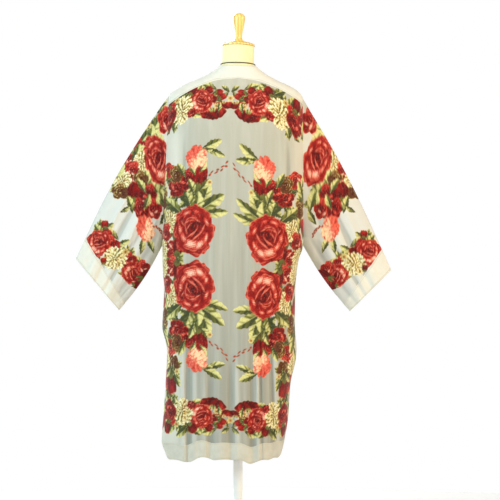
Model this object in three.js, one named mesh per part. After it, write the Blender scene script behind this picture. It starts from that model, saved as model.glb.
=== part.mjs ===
// A kimono jacket (an open, unlined cover-up cut like a T) hanging on a limbless dress form
// that stands on a pole and a round base. Millimetres, +Z up, the form's axis on Z, the
// floor at Z = 0. The back of the jacket faces -Y and the wearer's right is +X.
import * as THREE from 'three';

// Cloth
const WALL = 1.5;              // thickness of every cloth wall
const SEAM = 0.3;              // gap between two pieces that are sewn together
const BORDER = 50;             // width of the opaque border on the fronts and the hem
const CUFF_BORDER = 48;        // width of the same border on the sleeves
const HANG = 2.1;              // from the form's skin to the middle of the cloth wall
const NECK_EASE = 0.7;         // how much further out the cloth lies round the neck
const LIFT = 1.3;              // how much higher than the form a shoulder section lies

// Heights
const NECKLINE = 1423;         // back and side edge of the neck opening
const SHOULDER_POINT = 1335;   // top of the armhole seams
const YOKE = 1270;             // above it the rows follow the shoulder, below it they are level
const UNDERARM = 887;          // foot of the armhole seams, top of the side seams
const HEM = 246;               // mean height of the hem
const HEM_WAVE = { rise: 5, low: 52, pitch: 62 };

// Half openings
const ARMHOLE_DEPTH = 45;      // half the depth of the armhole, front to back
const CUFF_DEPTH = 22;         // half the depth of the sleeve's mouth
const UNDERARM_TUCK = 1.2;     // how far the side seam starts inside the armhole seam
const ROUNDNESS = 2.5;         // exponent of the rounded-rectangle sections
const LENS = 1.2;              // exponent of the lens-shaped sections of armhole and sleeve

// The way the form leans: neck forwards, shoulders a little down to the right
const LEAN = { forward: 5, forwardFrom: 1380, forwardTo: 1428, side: 1.3, sideFrom: 1150, sideTo: 1330 };

// Dress form: half width and half depth of its sections
const NECK_BASE = 1428;
const FORM_BOTTOM = 742;
const FORM_SHOULDER = 1298;
const FORM_SECTIONS = [
  { height: FORM_BOTTOM, width: 156, depth: 114 },
  { height: 752, width: 164, depth: 120 },
  { height: 820, width: 168, depth: 123 },
  { height: 900, width: 152, depth: 112 },
  { height: 1020, width: 121, depth: 93 },
  { height: 1100, width: 136, depth: 105 },
  { height: 1180, width: 154, depth: 117 },
  { height: 1240, width: 168, depth: 112 },
  { height: 1290, width: 181, depth: 99 },
  { height: 1325, width: 188, depth: 84 },
  { height: 1343, width: 186, depth: 75 },
  { height: 1352, width: 179, depth: 70 },
  { height: 1367, width: 155, depth: 64 },
  { height: 1385, width: 114, depth: 59 },
  { height: 1402, width: 81, depth: 55 },
  { height: 1416, width: 61, depth: 52 },
  { height: NECK_BASE, width: 50.5, depth: 50 },
];

// Jacket body: distance of the side or armhole seam on the wearer's left and right, and
// half depth at centre back and centre front. Above the last row it follows the form.
const BODY_SECTIONS = [
  { height: 238, left: 206, right: 117, back: 137, front: 128 },
  { height: 269, left: 219, right: 131, back: 136, front: 128 },
  { height: 305, left: 230, right: 140, back: 135, front: 128 },
  { height: 377, left: 225, right: 152, back: 135, front: 129 },
  { height: 467, left: 219, right: 158, back: 134, front: 130 },
  { height: 575, left: 214, right: 177, back: 133, front: 131 },
  { height: 647, left: 228, right: 172, back: 133, front: 131 },
  { height: 755, left: 223, right: 173, back: 133, front: 131 },
  { height: 845, left: 228, right: 183, back: 132, front: 131 },
  { height: UNDERARM, left: 228, right: 196, back: 131, front: 131 },
  { height: 1100, left: 217, right: 195, back: 124, front: 129 },
  { height: 1180, left: 214, right: 195, back: 122, front: 126 },
  { height: 1240, left: 211, right: 194, back: 117, front: 118 },
  { height: 1290, left: 209, right: 194, back: 105, front: 105 },
  { height: SHOULDER_POINT, left: 206, right: 194, back: 84, front: 84 },
  { height: 1344, left: 196, right: 189, back: 77.5, front: 77.5 },
].concat(FORM_SECTIONS.filter((section) => section.height > 1350).map((section) => {
  const ease = HANG + (section.height > 1400 ? NECK_EASE : 0);
  return {
    height: section.height + LIFT,
    left: section.width + ease,
    right: section.width + ease,
    back: section.depth + ease,
    front: section.depth + ease,
  };
}));

// Lower edge of the shoulder border, a low arch from the middle of the back to the armhole
const SHOULDER_BORDER_EDGE = [
  { across: 0, height: 1387 },
  { across: 60, height: 1380 },
  { across: 110, height: 1364 },
  { across: 150, height: 1344 },
  { across: 185, height: 1322 },
  { across: 212, height: 1303 },
];

// Where that edge slants across the columns, its seam is measured wider along them
const SLANT = { from: 100, to: 160 };

// Free edges of the two fronts, measured from the middle
const FRONT_EDGES = [
  { height: 238, left: 92, right: 16 },
  { height: 785, left: 79, right: 31 },
  { height: UNDERARM, left: 75, right: 40 },
  { height: YOKE, left: 60.5, right: 60.5 },
  { height: NECKLINE, left: 60.5, right: 60.5 },
];

// The largest hanging folds: place across, where each starts, half width and depth at the hem
const BACK_FOLDS = [
  { at: -176, top: 1240, width: 20, depth: 7 },
  { at: -112, top: 820, width: 24, depth: 7 },
  { at: -52, top: 700, width: 22, depth: 9 },
  { at: 14, top: 900, width: 24, depth: 7 },
  { at: 74, top: 760, width: 22, depth: 10 },
  { at: 122, top: 980, width: 18, depth: 6 },
];
const FRONT_FOLDS = [
  { at: -168, top: 1180, width: 22, depth: 7 },
  { at: -112, top: 900, width: 20, depth: 8 },
  { at: 54, top: 760, width: 20, depth: 8 },
  { at: 112, top: 1080, width: 20, depth: 7 },
];
const SIDE_FADE = 30;          // folds die out where the section is this near the side seam

// Sleeves: top and bottom points of the armhole and of the mouth, and how far the top and
// bottom edges bow outwards between them
const SLEEVES = {
  left: {
    sign: -1, armholeTop: 206, armholeFoot: 228, cuffTop: [486, 848], cuffFoot: [357, 695],
    bowTop: 18, bowFoot: 9,
  },
  right: {
    sign: 1, armholeTop: 194, armholeFoot: 196, cuffTop: [459, 815], cuffFoot: [336, 692],
    bowTop: 11, bowFoot: 8,
  },
};
const SLEEVE_FOLDS = [
  { from: 0.75, to: 0.25, width: 0.2, depth: 6 },
  { from: 0.1, to: -0.45, width: 0.22, depth: 7 },
];

// Mesh steps: columns as shares of the neck opening and of the shoulder, the rest as counts
const NECK_COLUMNS = [0.32, 0.58, 0.77, 0.9, 0.97, 0.998];
const SHOULDER_COLUMNS = [0, 0.13, 0.28, 0.44, 0.6, 0.73, 0.85, 0.94, 1];
const BORDER_ROWS = 4;
const YOKE_ROWS = 5;
const CHEST_ROWS = 9;
const SKIRT_ROWS = 12;
const HEM_ROWS = 2;
const BAND_COLUMNS = 3;
const FRONT_COLUMNS = 8;
const SLEEVE_SIDES = 22;
const SLEEVE_RINGS = 11;
const FORM_SIDES = 40;
const FORM_RINGS = 25;

// Neck, wooden parts and stand
const NECK = { radius: 47, baseRadius: 49.5, height: 58 };
const CORD = { radius: 51.3, thickness: 3, sides: 6, steps: 32 };
const PLATE = { radius: 49.5, rim: 5, dome: 8, gap: 0.3 };
const FINIAL = { height: 87, foot: 17, waist: 9.6, waistAt: 14, shoulder: 18.6, shoulderAt: 72 };
const UNDERPLATE = { radius: 34, thickness: 10 };
const POLE = { radius: 14 };
const BASE = { radius: 180, thickness: 14, hubRadius: 34, hubHeight: 46 };

const COLOURS = {
  cream: { color: 0xefe9d4, roughness: 0.75, metalness: 0 },
  chiffon: { color: 0xcfcbb8, roughness: 0.6, metalness: 0 },
  formCover: { color: 0xf3ecd0, roughness: 0.85, metalness: 0 },
  wood: { color: 0xe9bf55, roughness: 0.4, metalness: 0 },
  cord: { color: 0x1d1a16, roughness: 0.8, metalness: 0 },
  paint: { color: 0xf2f1ec, roughness: 0.35, metalness: 0.2 },
};

const mix = (a, b, t) => a + (b - a) * t;
const clamp01 = (t) => Math.min(1, Math.max(0, t));
const smooth = (t) => clamp01(t) ** 2 * (3 - 2 * clamp01(t));
const tangent = (degrees) => Math.tan(THREE.MathUtils.degToRad(degrees));

// A smooth, monotone reading of one column of a table between its rows
function read(table, column, place, key = 'height') {
  const last = table.length - 1;
  const slope = (i) => (table[i + 1][column] - table[i][column]) / (table[i + 1][key] - table[i][key]);
  const bend = (i) => {
    if (i === 0) return slope(0);
    if (i === last) return slope(last - 1);
    const before = slope(i - 1);
    const after = slope(i);
    return before * after <= 0 ? 0 : 2 * before * after / (before + after);
  };
  if (place <= table[0][key]) return table[0][column];
  if (place >= table[last][key]) return table[last][column];
  let i = 0;
  while (table[i + 1][key] < place) i += 1;
  const span = table[i + 1][key] - table[i][key];
  const t = (place - table[i][key]) / span;
  return table[i][column] * (1 + 2 * t) * (1 - t) ** 2 + bend(i) * span * t * (1 - t) ** 2
    + table[i + 1][column] * t * t * (3 - 2 * t) + bend(i + 1) * span * t * t * (t - 1);
}

// Forward lean of the neck and sideways lean of the shoulders, as level shears
function lean(point) {
  const forward = tangent(LEAN.forward)
    * smooth((point.z - LEAN.forwardFrom) / (LEAN.forwardTo - LEAN.forwardFrom));
  const side = tangent(LEAN.side) * smooth((point.z - LEAN.sideFrom) / (LEAN.sideTo - LEAN.sideFrom));
  return new THREE.Vector3(point.x, point.y, point.z - forward * point.y - side * point.x);
}

// ---- sections of the jacket body ------------------------------------------------------

function armholeDepth(height) {
  const middle = (SHOULDER_POINT + UNDERARM) / 2;
  const place = (height - middle) / (SHOULDER_POINT - middle);
  if (Math.abs(place) >= 1) return SEAM / 2;
  return SEAM / 2 + ARMHOLE_DEPTH * (1 - place * place) ** (LENS / 2);
}

function seamDistance(side, height) {
  if (height <= UNDERARM) return read(BODY_SECTIONS, side, height) - UNDERARM_TUCK;
  if (height >= SHOULDER_POINT) return read(BODY_SECTIONS, side, height);
  const { armholeTop, armholeFoot } = SLEEVES[side];
  return mix(armholeFoot, armholeTop, (height - UNDERARM) / (SHOULDER_POINT - UNDERARM));
}

function section(side, face, height) {
  const depth = read(BODY_SECTIONS, face, height);
  const edge = seamDistance(side, height);
  const opening = armholeDepth(height);
  const reach = edge / (1 - (opening / depth) ** ROUNDNESS) ** (1 / ROUNDNESS);
  return { depth, edge, reach };
}

const depthAt = (shape, x) => shape.depth
  * Math.max(0, 1 - (Math.abs(x) / shape.reach) ** ROUNDNESS) ** (1 / ROUNDNESS);

// Points of a section from the middle to the seam, with the length run so far
function arc(shape, steps = 40) {
  const end = Math.asin(Math.min(1, (shape.edge / shape.reach) ** (ROUNDNESS / 2)));
  const points = [];
  for (let i = 0; i <= steps; i += 1) {
    const x = shape.reach * Math.sin(end * i / steps) ** (2 / ROUNDNESS);
    const y = depthAt(shape, x);
    const before = points[i - 1];
    points.push({ x, y, run: before ? before.run + Math.hypot(x - before.x, y - before.y) : 0 });
  }
  return points;
}

function between(points, from, value, to) {
  let i = 0;
  while (i < points.length - 2 && points[i + 1][from] < value) i += 1;
  const t = (value - points[i][from]) / (points[i + 1][from] - points[i][from]);
  return mix(points[i][to], points[i + 1][to], clamp01(t));
}

function foldDepth(face, x, height) {
  const folds = face === 'back' ? BACK_FOLDS : FRONT_FOLDS;
  return folds.reduce((sum, fold) => {
    const grown = smooth((fold.top - height) / (fold.top - HEM));
    return sum + fold.depth * grown * Math.exp(-(((x - fold.at) / fold.width) ** 2));
  }, 0);
}

const hemHeight = (x) => HEM - HEM_WAVE.rise * Math.cos((x - HEM_WAVE.low) / HEM_WAVE.pitch);

// A column of cloth is named by its distance from the middle at the yoke line.
// Above the yoke line it runs up at a steady share of the width to the shoulder or neckline.
function shoulderPath(side, face, column) {
  const widening = (height) => column * seamDistance(side, Math.min(height, SHOULDER_POINT))
    / seamDistance(side, YOKE);
  let low = YOKE;
  let ridge = NECKLINE;
  for (let i = 0; i < 30; i += 1) {
    const tried = (low + ridge) / 2;
    if (tried < SHOULDER_POINT || widening(tried) < section(side, face, tried).edge) low = tried;
    else ridge = tried;
  }
  const path = [];
  for (let i = 0; i <= 40; i += 1) {
    const z = ridge - (ridge - YOKE) * (i / 40) ** ROUNDNESS;
    const x = widening(z);
    const y = Math.max(SEAM / 2, depthAt(section(side, face, z), x));
    const before = path[i - 1];
    path.push({ x, y, z, fall: -z, run: before ? before.run + Math.hypot(y - before.y, z - before.z) : 0 });
  }
  return path;
}

// Below the yoke line a column keeps its share of the level section. On a front, the border
// keeps its full width and the rest is shared out.
function levelRun(side, face, column, height, here) {
  const yokeArc = arc(section(side, face, YOKE));
  const yokeWidth = yokeArc[yokeArc.length - 1].run;
  const width = here[here.length - 1].run;
  const yokeRun = between(yokeArc, 'x', column, 'run');
  if (face === 'back') return width * yokeRun / yokeWidth;
  const edgeRun = (points, z) => between(points, 'x', read(FRONT_EDGES, side, z), 'run');
  const yokeEdge = edgeRun(yokeArc, YOKE);
  const edge = edgeRun(here, height);
  const fromEdge = yokeRun - yokeEdge;
  const spread = (width - edge - BORDER) / (yokeWidth - yokeEdge - BORDER);
  return edge + (fromEdge <= BORDER ? fromEdge : BORDER + (fromEdge - BORDER) * spread);
}

// Rows: 0 to 1 shoulder border, 1 to 2 yoke, 2 to 3 chest, 3 to 4 skirt, 4 to 5 hem border.
function bodyPoint(side, face, column, row) {
  const sign = SLEEVES[side].sign;
  const outward = face === 'back' ? -1 : 1;
  if (row < 2) {
    const path = shoulderPath(side, face, column);
    const total = path[path.length - 1].run;
    const border = between(path, 'fall', -read(SHOULDER_BORDER_EDGE, 'height', column, 'across'), 'run');
    const half = SEAM / 2 * (1 + smooth((column - SLANT.from) / (SLANT.to - SLANT.from)));
    const run = row < 1 ? mix(0, border - half, row) : mix(border + half, total, row - 1);
    const at = (name) => between(path, 'run', run, name);
    return lean(new THREE.Vector3(sign * at('x'), outward * at('y'), at('z')));
  }
  const hem = hemHeight(sign * column);
  let height = mix(YOKE, UNDERARM, row - 2);
  if (row >= 3) height = mix(UNDERARM, hem + BORDER + SEAM / 2, row - 3);
  if (row >= 4) height = mix(hem + BORDER - SEAM / 2, hem, row - 4);
  const here = arc(section(side, face, height));
  const run = levelRun(side, face, column, height, here);
  const x = sign * between(here, 'run', run, 'x');
  const y = Math.max(SEAM / 2, between(here, 'run', run, 'y'));
  const fold = foldDepth(face, x, height) * smooth(y / SIDE_FADE);
  return lean(new THREE.Vector3(x, outward * (y + fold), height));
}

// Distance from the middle, at the yoke line, of the corner where neckline and shoulder meet
function neckCorner(side) {
  return section(side, 'back', NECKLINE).edge * seamDistance(side, YOKE) / seamDistance(side, SHOULDER_POINT);
}

// Distance from the middle, at the yoke line, of a point so far from the front's free edge
function frontColumn(side, distance) {
  const points = arc(section(side, 'front', YOKE));
  const start = between(points, 'x', read(FRONT_EDGES, side, YOKE), 'run');
  return between(points, 'run', start + distance, 'x');
}

function frontWidth(side) {
  const points = arc(section(side, 'front', YOKE));
  return points[points.length - 1].run - between(points, 'x', read(FRONT_EDGES, side, YOKE), 'run');
}

// ---- sleeves --------------------------------------------------------------------------

function sleevePoint(side, along, angle) {
  const { sign, armholeTop, armholeFoot, cuffTop, cuffFoot, bowTop, bowFoot } = SLEEVES[side];
  const edgePoint = (start, end, bow, turn) => {
    const direction = new THREE.Vector2(end[0] - start[0], end[1] - start[1]);
    const normal = new THREE.Vector2(-direction.y, direction.x).normalize().multiplyScalar(turn);
    const bulge = bow * Math.sin(Math.PI * along);
    return [mix(start[0], end[0], along) + normal.x * bulge, mix(start[1], end[1], along) + normal.y * bulge];
  };
  const top = edgePoint([armholeTop, SHOULDER_POINT], cuffTop, bowTop, 1);
  const foot = edgePoint([armholeFoot, UNDERARM], cuffFoot, bowFoot, -1);
  const place = Math.cos(angle);
  const share = (1 + place) / 2;
  const fold = SLEEVE_FOLDS.reduce((sum, { from, to, width, depth }) => (
    sum + depth * Math.exp(-(((place - mix(from, to, along)) / width) ** 2))
  ), 0);
  const across = Math.sin(angle);
  const halfDepth = mix(ARMHOLE_DEPTH, CUFF_DEPTH, smooth(along))
    + fold * smooth(along * 4) * Math.abs(across);
  return lean(new THREE.Vector3(
    sign * (mix(foot[0], top[0], share) + SEAM * (1 - smooth(along * 10))),
    -Math.sign(across) * halfDepth * Math.abs(across) ** LENS,
    mix(foot[1], top[1], share),
  ));
}

// ---- solids ---------------------------------------------------------------------------

// A closed cloth wall about a surface. place(u, v) gives the middle of the wall, and
// flat(u, v) the axes that the thickness must keep out of at a seam.
function clothWall({ us, vs, place, flat, flip = false, tube = false }) {
  const positions = [];
  const indices = [];
  const step = 1e-3;
  const normalAt = (u, v) => {
    const along = place(u + step, v).sub(place(u - step, v));
    const down = place(u, v + step).sub(place(u, v - step));
    const normal = along.cross(down);
    for (const axis of flat(u, v)) normal[axis] = 0;
    return normal.normalize().multiplyScalar(flip ? -1 : 1);
  };
  for (const offset of [WALL / 2, -WALL / 2]) {
    for (const v of vs) {
      for (const u of us) {
        const point = place(u, v).addScaledVector(normalAt(u, v), offset);
        positions.push(point.x, point.y, point.z);
      }
    }
  }
  const columns = us.length;
  const layer = columns * vs.length;
  const at = (face, i, j) => face * layer + j * columns + (i % columns);
  const quad = (a, b, c, d) => {
    if (flip) indices.push(a, c, b, a, d, c);
    else indices.push(a, b, c, a, c, d);
  };
  const spans = tube ? columns : columns - 1;
  for (let j = 0; j < vs.length - 1; j += 1) {
    for (let i = 0; i < spans; i += 1) {
      quad(at(0, i, j), at(0, i + 1, j), at(0, i + 1, j + 1), at(0, i, j + 1));
      quad(at(1, i, j), at(1, i, j + 1), at(1, i + 1, j + 1), at(1, i + 1, j));
    }
    if (!tube) {
      const end = columns - 1;
      quad(at(0, 0, j), at(0, 0, j + 1), at(1, 0, j + 1), at(1, 0, j));
      quad(at(0, end, j + 1), at(0, end, j), at(1, end, j), at(1, end, j + 1));
    }
  }
  const foot = vs.length - 1;
  for (let i = 0; i < spans; i += 1) {
    quad(at(0, i + 1, 0), at(0, i, 0), at(1, i, 0), at(1, i + 1, 0));
    quad(at(0, i, foot), at(0, i + 1, foot), at(1, i + 1, foot), at(1, i, foot));
  }
  const geometry = new THREE.BufferGeometry();
  geometry.setAttribute('position', new THREE.Float32BufferAttribute(positions, 3));
  geometry.setIndex(indices);
  return geometry;
}

const steps = (from, to, count) => Array.from({ length: count + 1 }, (_, i) => mix(from, to, i / count));

// The rows of the body from one row number to another
function rowList(from, to) {
  const counts = [BORDER_ROWS, YOKE_ROWS, CHEST_ROWS, SKIRT_ROWS, HEM_ROWS];
  const rows = [from];
  for (let part = from; part < to; part += 1) rows.push(...steps(part, part + 1, counts[part]).slice(1));
  return rows;
}

const within = (row, from, to) => Math.min(Math.max(row, from), to - 1e-6);

// Which axes the wall's thickness keeps out of, at each seam of the body
function bodySeam(atArmhole, atTop, row) {
  if (atTop) return atArmhole ? 'xy' : 'y';
  if (!atArmhole) return '';
  return row < 3 ? 'x' : 'y';
}

function backPiece(from, to) {
  const seams = { left: seamDistance('left', YOKE), right: seamDistance('right', YOKE) };
  const columns = (side) => {
    const corner = neckCorner(side);
    return [...NECK_COLUMNS.map((share) => share * corner),
      ...SHOULDER_COLUMNS.map((share) => mix(corner * 1.015, seams[side], share))];
  };
  const sideOf = (u) => (u < 0 ? 'left' : 'right');
  const column = (u) => Math.min(Math.abs(u), seams[sideOf(u)]);
  return clothWall({
    us: [...columns('left').reverse().map((x) => -x), 0, ...columns('right')],
    vs: rowList(from, to),
    place: (u, v) => bodyPoint(sideOf(u), 'back', column(u), within(v, from, to)),
    flat: (u, v) => bodySeam(
      Math.abs(u) > seams[sideOf(u)] - 0.001, v < 0.001 && Math.abs(u) > neckCorner(sideOf(u)), v),
    flip: true,
  });
}

function frontPiece(side, fromEdge, toEdge, count, from, to) {
  const sign = SLEEVES[side].sign;
  const width = frontWidth(side);
  return clothWall({
    us: steps(fromEdge, Math.min(toEdge, width), count),
    vs: rowList(from, to),
    place: (u, v) => bodyPoint(side, 'front', frontColumn(side, Math.min(u, width)), within(v, from, to)),
    flat: (u, v) => bodySeam(u > width - 0.001, v < 0.001, v),
    flip: sign > 0,
  });
}

function sleevePiece(side, from, to, rings) {
  return clothWall({
    us: steps(0, 2 * Math.PI, SLEEVE_SIDES).slice(0, SLEEVE_SIDES),
    vs: steps(from, to, rings),
    place: (u, v) => sleevePoint(side, Math.max(v, 0), u),
    flat: (u, v) => (v < 0.001 ? 'x' : ''),
    flip: SLEEVES[side].sign > 0,
    tube: true,
  });
}

// Lengths of a sleeve along its middle and along its foot
function sleeveLengths(side) {
  const { armholeTop, armholeFoot, cuffTop, cuffFoot } = SLEEVES[side];
  const across = (cuffTop[0] + cuffFoot[0] - armholeTop - armholeFoot) / 2;
  const down = (SHOULDER_POINT + UNDERARM - cuffTop[1] - cuffFoot[1]) / 2;
  return {
    middle: Math.hypot(across, down),
    foot: Math.hypot(cuffFoot[0] - armholeFoot, cuffFoot[1] - UNDERARM),
  };
}

// Torso of the form: level rounded sections, closed by a flat face at the hips and at the neck
function formTorso() {
  const positions = [];
  const indices = [];
  const shoulderRings = 10;
  const heights = [
    ...steps(FORM_BOTTOM, FORM_SHOULDER, FORM_RINGS - shoulderRings).slice(0, -1),
    ...steps(FORM_SHOULDER, NECK_BASE, shoulderRings),
  ];
  for (const height of heights) {
    const width = read(FORM_SECTIONS, 'width', height);
    const depth = read(FORM_SECTIONS, 'depth', height);
    for (let i = 0; i < FORM_SIDES; i += 1) {
      const angle = 2 * Math.PI * i / FORM_SIDES;
      const round = (value) => Math.sign(value) * Math.abs(value) ** (2 / ROUNDNESS);
      const [x, y] = [width * round(Math.cos(angle)), depth * round(Math.sin(angle))];
      const point = lean(new THREE.Vector3(x, y, height));
      positions.push(point.x, point.y, point.z);
    }
  }
  const at = (i, j) => j * FORM_SIDES + (i % FORM_SIDES);
  for (let j = 0; j < FORM_RINGS; j += 1) {
    for (let i = 0; i < FORM_SIDES; i += 1) {
      indices.push(at(i, j), at(i + 1, j), at(i + 1, j + 1), at(i, j), at(i + 1, j + 1), at(i, j + 1));
    }
  }
  for (const [ring, turned] of [[0, true], [FORM_RINGS, false]]) {
    const centre = positions.length / 3;
    const middle = lean(new THREE.Vector3(0, 0, heights[ring]));
    positions.push(middle.x, middle.y, middle.z);
    for (let i = 0; i < FORM_SIDES; i += 1) {
      if (turned) indices.push(centre, at(i + 1, ring), at(i, ring));
      else indices.push(centre, at(i, ring), at(i + 1, ring));
    }
  }
  const geometry = new THREE.BufferGeometry();
  geometry.setAttribute('position', new THREE.Float32BufferAttribute(positions, 3));
  geometry.setIndex(indices);
  return geometry;
}

// A turned piece from its outline, given as [radius, height] from the foot up
function turned(outline, sides) {
  const geometry = new THREE.LatheGeometry(outline.map(([r, z]) => new THREE.Vector2(r, z)), sides);
  geometry.rotateX(Math.PI / 2);
  return geometry;
}

function neckCap() {
  const { radius, baseRadius, height } = NECK;
  return turned([[0, 0], [baseRadius, 0], [radius + 0.6, 14], [radius, height], [0, height]], 40);
}

function neckPlate() {
  const { radius, rim, dome } = PLATE;
  return turned([
    [0, 0], [radius - 1.5, 0], [radius, 1.5], [radius, rim - 1.5], [radius - 1.5, rim],
    [radius * 0.78, rim + dome * 0.55], [radius * 0.5, rim + dome * 0.9], [FINIAL.foot, rim + dome],
    [0, rim + dome],
  ], 40);
}

function finial() {
  const { height, foot, waist, waistAt, shoulder, shoulderAt } = FINIAL;
  const outline = [[0, 0], [foot, 0], [foot * 0.8, waistAt * 0.28]];
  outline.push([waist + 1.6, waistAt * 0.62], [waist, waistAt]);
  for (let i = 1; i <= 6; i += 1) {
    outline.push([mix(waist, shoulder, smooth(i / 6) * 0.6 + 0.4 * i / 6), mix(waistAt, shoulderAt, i / 6)]);
  }
  for (let i = 1; i <= 5; i += 1) {
    const angle = Math.PI / 2 * i / 5;
    outline.push([shoulder * Math.cos(angle), shoulderAt + (height - shoulderAt) * Math.sin(angle)]);
  }
  outline[outline.length - 1][0] = 0;
  return turned(outline, 28);
}

function standBase() {
  const { radius, thickness, hubRadius, hubHeight } = BASE;
  return turned([
    [0, 0], [radius - 2, 0], [radius, 2], [radius, thickness - 4], [radius - 4, thickness],
    [hubRadius + 14, thickness + 3], [hubRadius, thickness + 9], [POLE.radius + 8, hubHeight], [0, hubHeight],
  ], 48);
}

// ---- assembly -------------------------------------------------------------------------

const object = new THREE.Group();

function add(name, geometry, finish, parent = object) {
  const mesh = new THREE.Mesh(geometry, new THREE.MeshStandardMaterial(COLOURS[finish]));
  mesh.name = name;
  parent.add(mesh);
  return mesh;
}

add('stand_base', standBase(), 'paint');
const underplateFoot = FORM_BOTTOM - SEAM - UNDERPLATE.thickness;
const poleLength = underplateFoot - SEAM - (BASE.hubHeight + SEAM);
const pole = new THREE.CylinderGeometry(POLE.radius, POLE.radius, poleLength, 28);
pole.rotateX(Math.PI / 2);
add('stand_pole', pole, 'paint').position.z = BASE.hubHeight + SEAM + poleLength / 2;
const underplate = new THREE.CylinderGeometry(UNDERPLATE.radius, UNDERPLATE.radius, UNDERPLATE.thickness, 32);
underplate.rotateX(Math.PI / 2);
add('form_underplate', underplate, 'paint').position.z = underplateFoot + UNDERPLATE.thickness / 2;
add('form_torso', formTorso(), 'formCover');

const neck = new THREE.Group();
neck.position.copy(lean(new THREE.Vector3(0, 0, NECK_BASE)));
neck.rotation.set(-THREE.MathUtils.degToRad(LEAN.forward), THREE.MathUtils.degToRad(LEAN.side), 0);
object.add(neck);
add('form_neck', neckCap(), 'formCover', neck).position.z = SEAM;
const plateFoot = SEAM + NECK.height + PLATE.gap;
add('neck_plate', neckPlate(), 'wood', neck).position.z = plateFoot;
add('neck_finial', finial(), 'wood', neck).position.z = plateFoot + PLATE.rim + PLATE.dome + PLATE.gap;
const cord = new THREE.TorusGeometry(CORD.radius, CORD.thickness / 2, CORD.sides, CORD.steps);
add('neck_cord', cord, 'cord', neck).position.z = SEAM + CORD.thickness / 2 + 1;

add('back_panel', backPiece(1, 4), 'chiffon');
add('back_shoulder_border', backPiece(0, 1), 'cream');
add('back_hem_border', backPiece(4, 5), 'cream');
for (const side of ['left', 'right']) {
  const panelStart = BORDER + SEAM / 2;
  add(`front_panel_${side}`, frontPiece(side, panelStart, Infinity, FRONT_COLUMNS, 0, 4), 'chiffon');
  add(`front_edge_border_${side}`, frontPiece(side, 0, BORDER - SEAM / 2, BAND_COLUMNS, 0, 5), 'cream');
  add(`front_hem_border_${side}`, frontPiece(side, panelStart, Infinity, FRONT_COLUMNS, 4, 5), 'cream');
  const { middle, foot } = sleeveLengths(side);
  const cuffStart = 1 - CUFF_BORDER / middle;
  const halfSeam = SEAM / 2 / foot;
  add(`sleeve_${side}`, sleevePiece(side, 0, cuffStart - halfSeam, SLEEVE_RINGS), 'chiffon');
  add(`cuff_border_${side}`, sleevePiece(side, cuffStart + halfSeam, 1, 2), 'cream');
}

export default object;
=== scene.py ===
"""A kimono jacket of printed chiffon on a limbless dress form, built round the packed part.

Metres, +Z up, the form's axis on Z and the floor at Z = 0. The back of the jacket faces -Y and
the wearer's right is +X. Lengths in the tables below are millimetres, as in the part's source.
"""
import math
from collections import namedtuple

import bmesh
import bpy
import numpy as np
from bpy.props import FloatProperty, FloatVectorProperty, PointerProperty
from mathutils import Matrix, Vector


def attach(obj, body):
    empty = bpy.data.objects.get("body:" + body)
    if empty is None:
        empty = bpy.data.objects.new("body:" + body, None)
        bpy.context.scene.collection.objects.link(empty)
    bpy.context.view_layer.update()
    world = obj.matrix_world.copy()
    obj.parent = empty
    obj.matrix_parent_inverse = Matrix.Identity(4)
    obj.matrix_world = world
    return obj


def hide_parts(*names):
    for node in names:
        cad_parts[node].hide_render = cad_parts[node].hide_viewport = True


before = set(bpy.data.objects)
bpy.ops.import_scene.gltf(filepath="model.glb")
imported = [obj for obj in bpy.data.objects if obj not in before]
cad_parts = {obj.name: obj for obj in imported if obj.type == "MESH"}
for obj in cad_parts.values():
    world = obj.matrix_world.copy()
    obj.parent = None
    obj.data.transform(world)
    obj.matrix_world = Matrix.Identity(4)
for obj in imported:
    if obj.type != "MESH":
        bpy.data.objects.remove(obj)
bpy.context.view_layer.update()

bl_info = {
    "name": "Kimono jacket on a dress form",
    "version": (1, 0, 0),
    "blender": (4, 5, 0),
    "location": "View3D > Sidebar > Kimono",
    "description": "Builds an open printed chiffon jacket and the dress form that it hangs on",
    "category": "Add Mesh",
}

MM = 0.001
METRE = 1000

# ---- sizes shared with the part's source, in millimetres --------------------------------

SEAM = 0.3
BORDER, CUFF_BORDER = 50, 48
SHOULDER_BORDER = 52            # as deep as it is at the middle of the back
HANG, NECK_EASE, LIFT = 2.1, 0.7, 1.3
NECKLINE, SHOULDER_POINT, YOKE, UNDERARM, HEM = 1423, 1335, 1270, 887, 246
HEM_RISE, HEM_LOW, HEM_PITCH = 5, 52, 62
HEM_FLUTTER, FLUTTER_PITCH = 3.8, 13.5
ARMHOLE_DEPTH, CUFF_DEPTH = 45, 22
UNDERARM_TUCK = 1.2
ROUNDNESS = 2.5                 # of the level sections: 2 is an ellipse, more is squarer
LENS = 1.2                      # of a sleeve's section: 2 is an ellipse, less is more pointed
SIDE_FADE = 30                  # depth at which the folds have come in from a side seam
LEAN_DEGREES = 5, 1.3           # of the neck forwards, of the shoulders to the right
LEAN_FORWARD, LEAN_SIDE = (math.tan(math.radians(degrees)) for degrees in LEAN_DEGREES)
FORWARD_FROM, SIDE_FROM = (1380, 48), (1150, 180)   # where each sets in, and over what height
NECK_BASE, FORM_BOTTOM = 1428, 742

# Dress form: height, half width, half depth
FORM_SECTIONS = [
    (742, 156, 114), (752, 164, 120), (820, 168, 123), (900, 152, 112), (1020, 121, 93),
    (1100, 136, 105), (1180, 154, 117), (1240, 168, 112), (1290, 181, 99), (1325, 188, 84),
    (1343, 186, 75), (1352, 179, 70), (1367, 155, 64), (1385, 114, 59), (1402, 81, 55),
    (1416, 61, 52), (1428, 50.5, 50),
]

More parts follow.
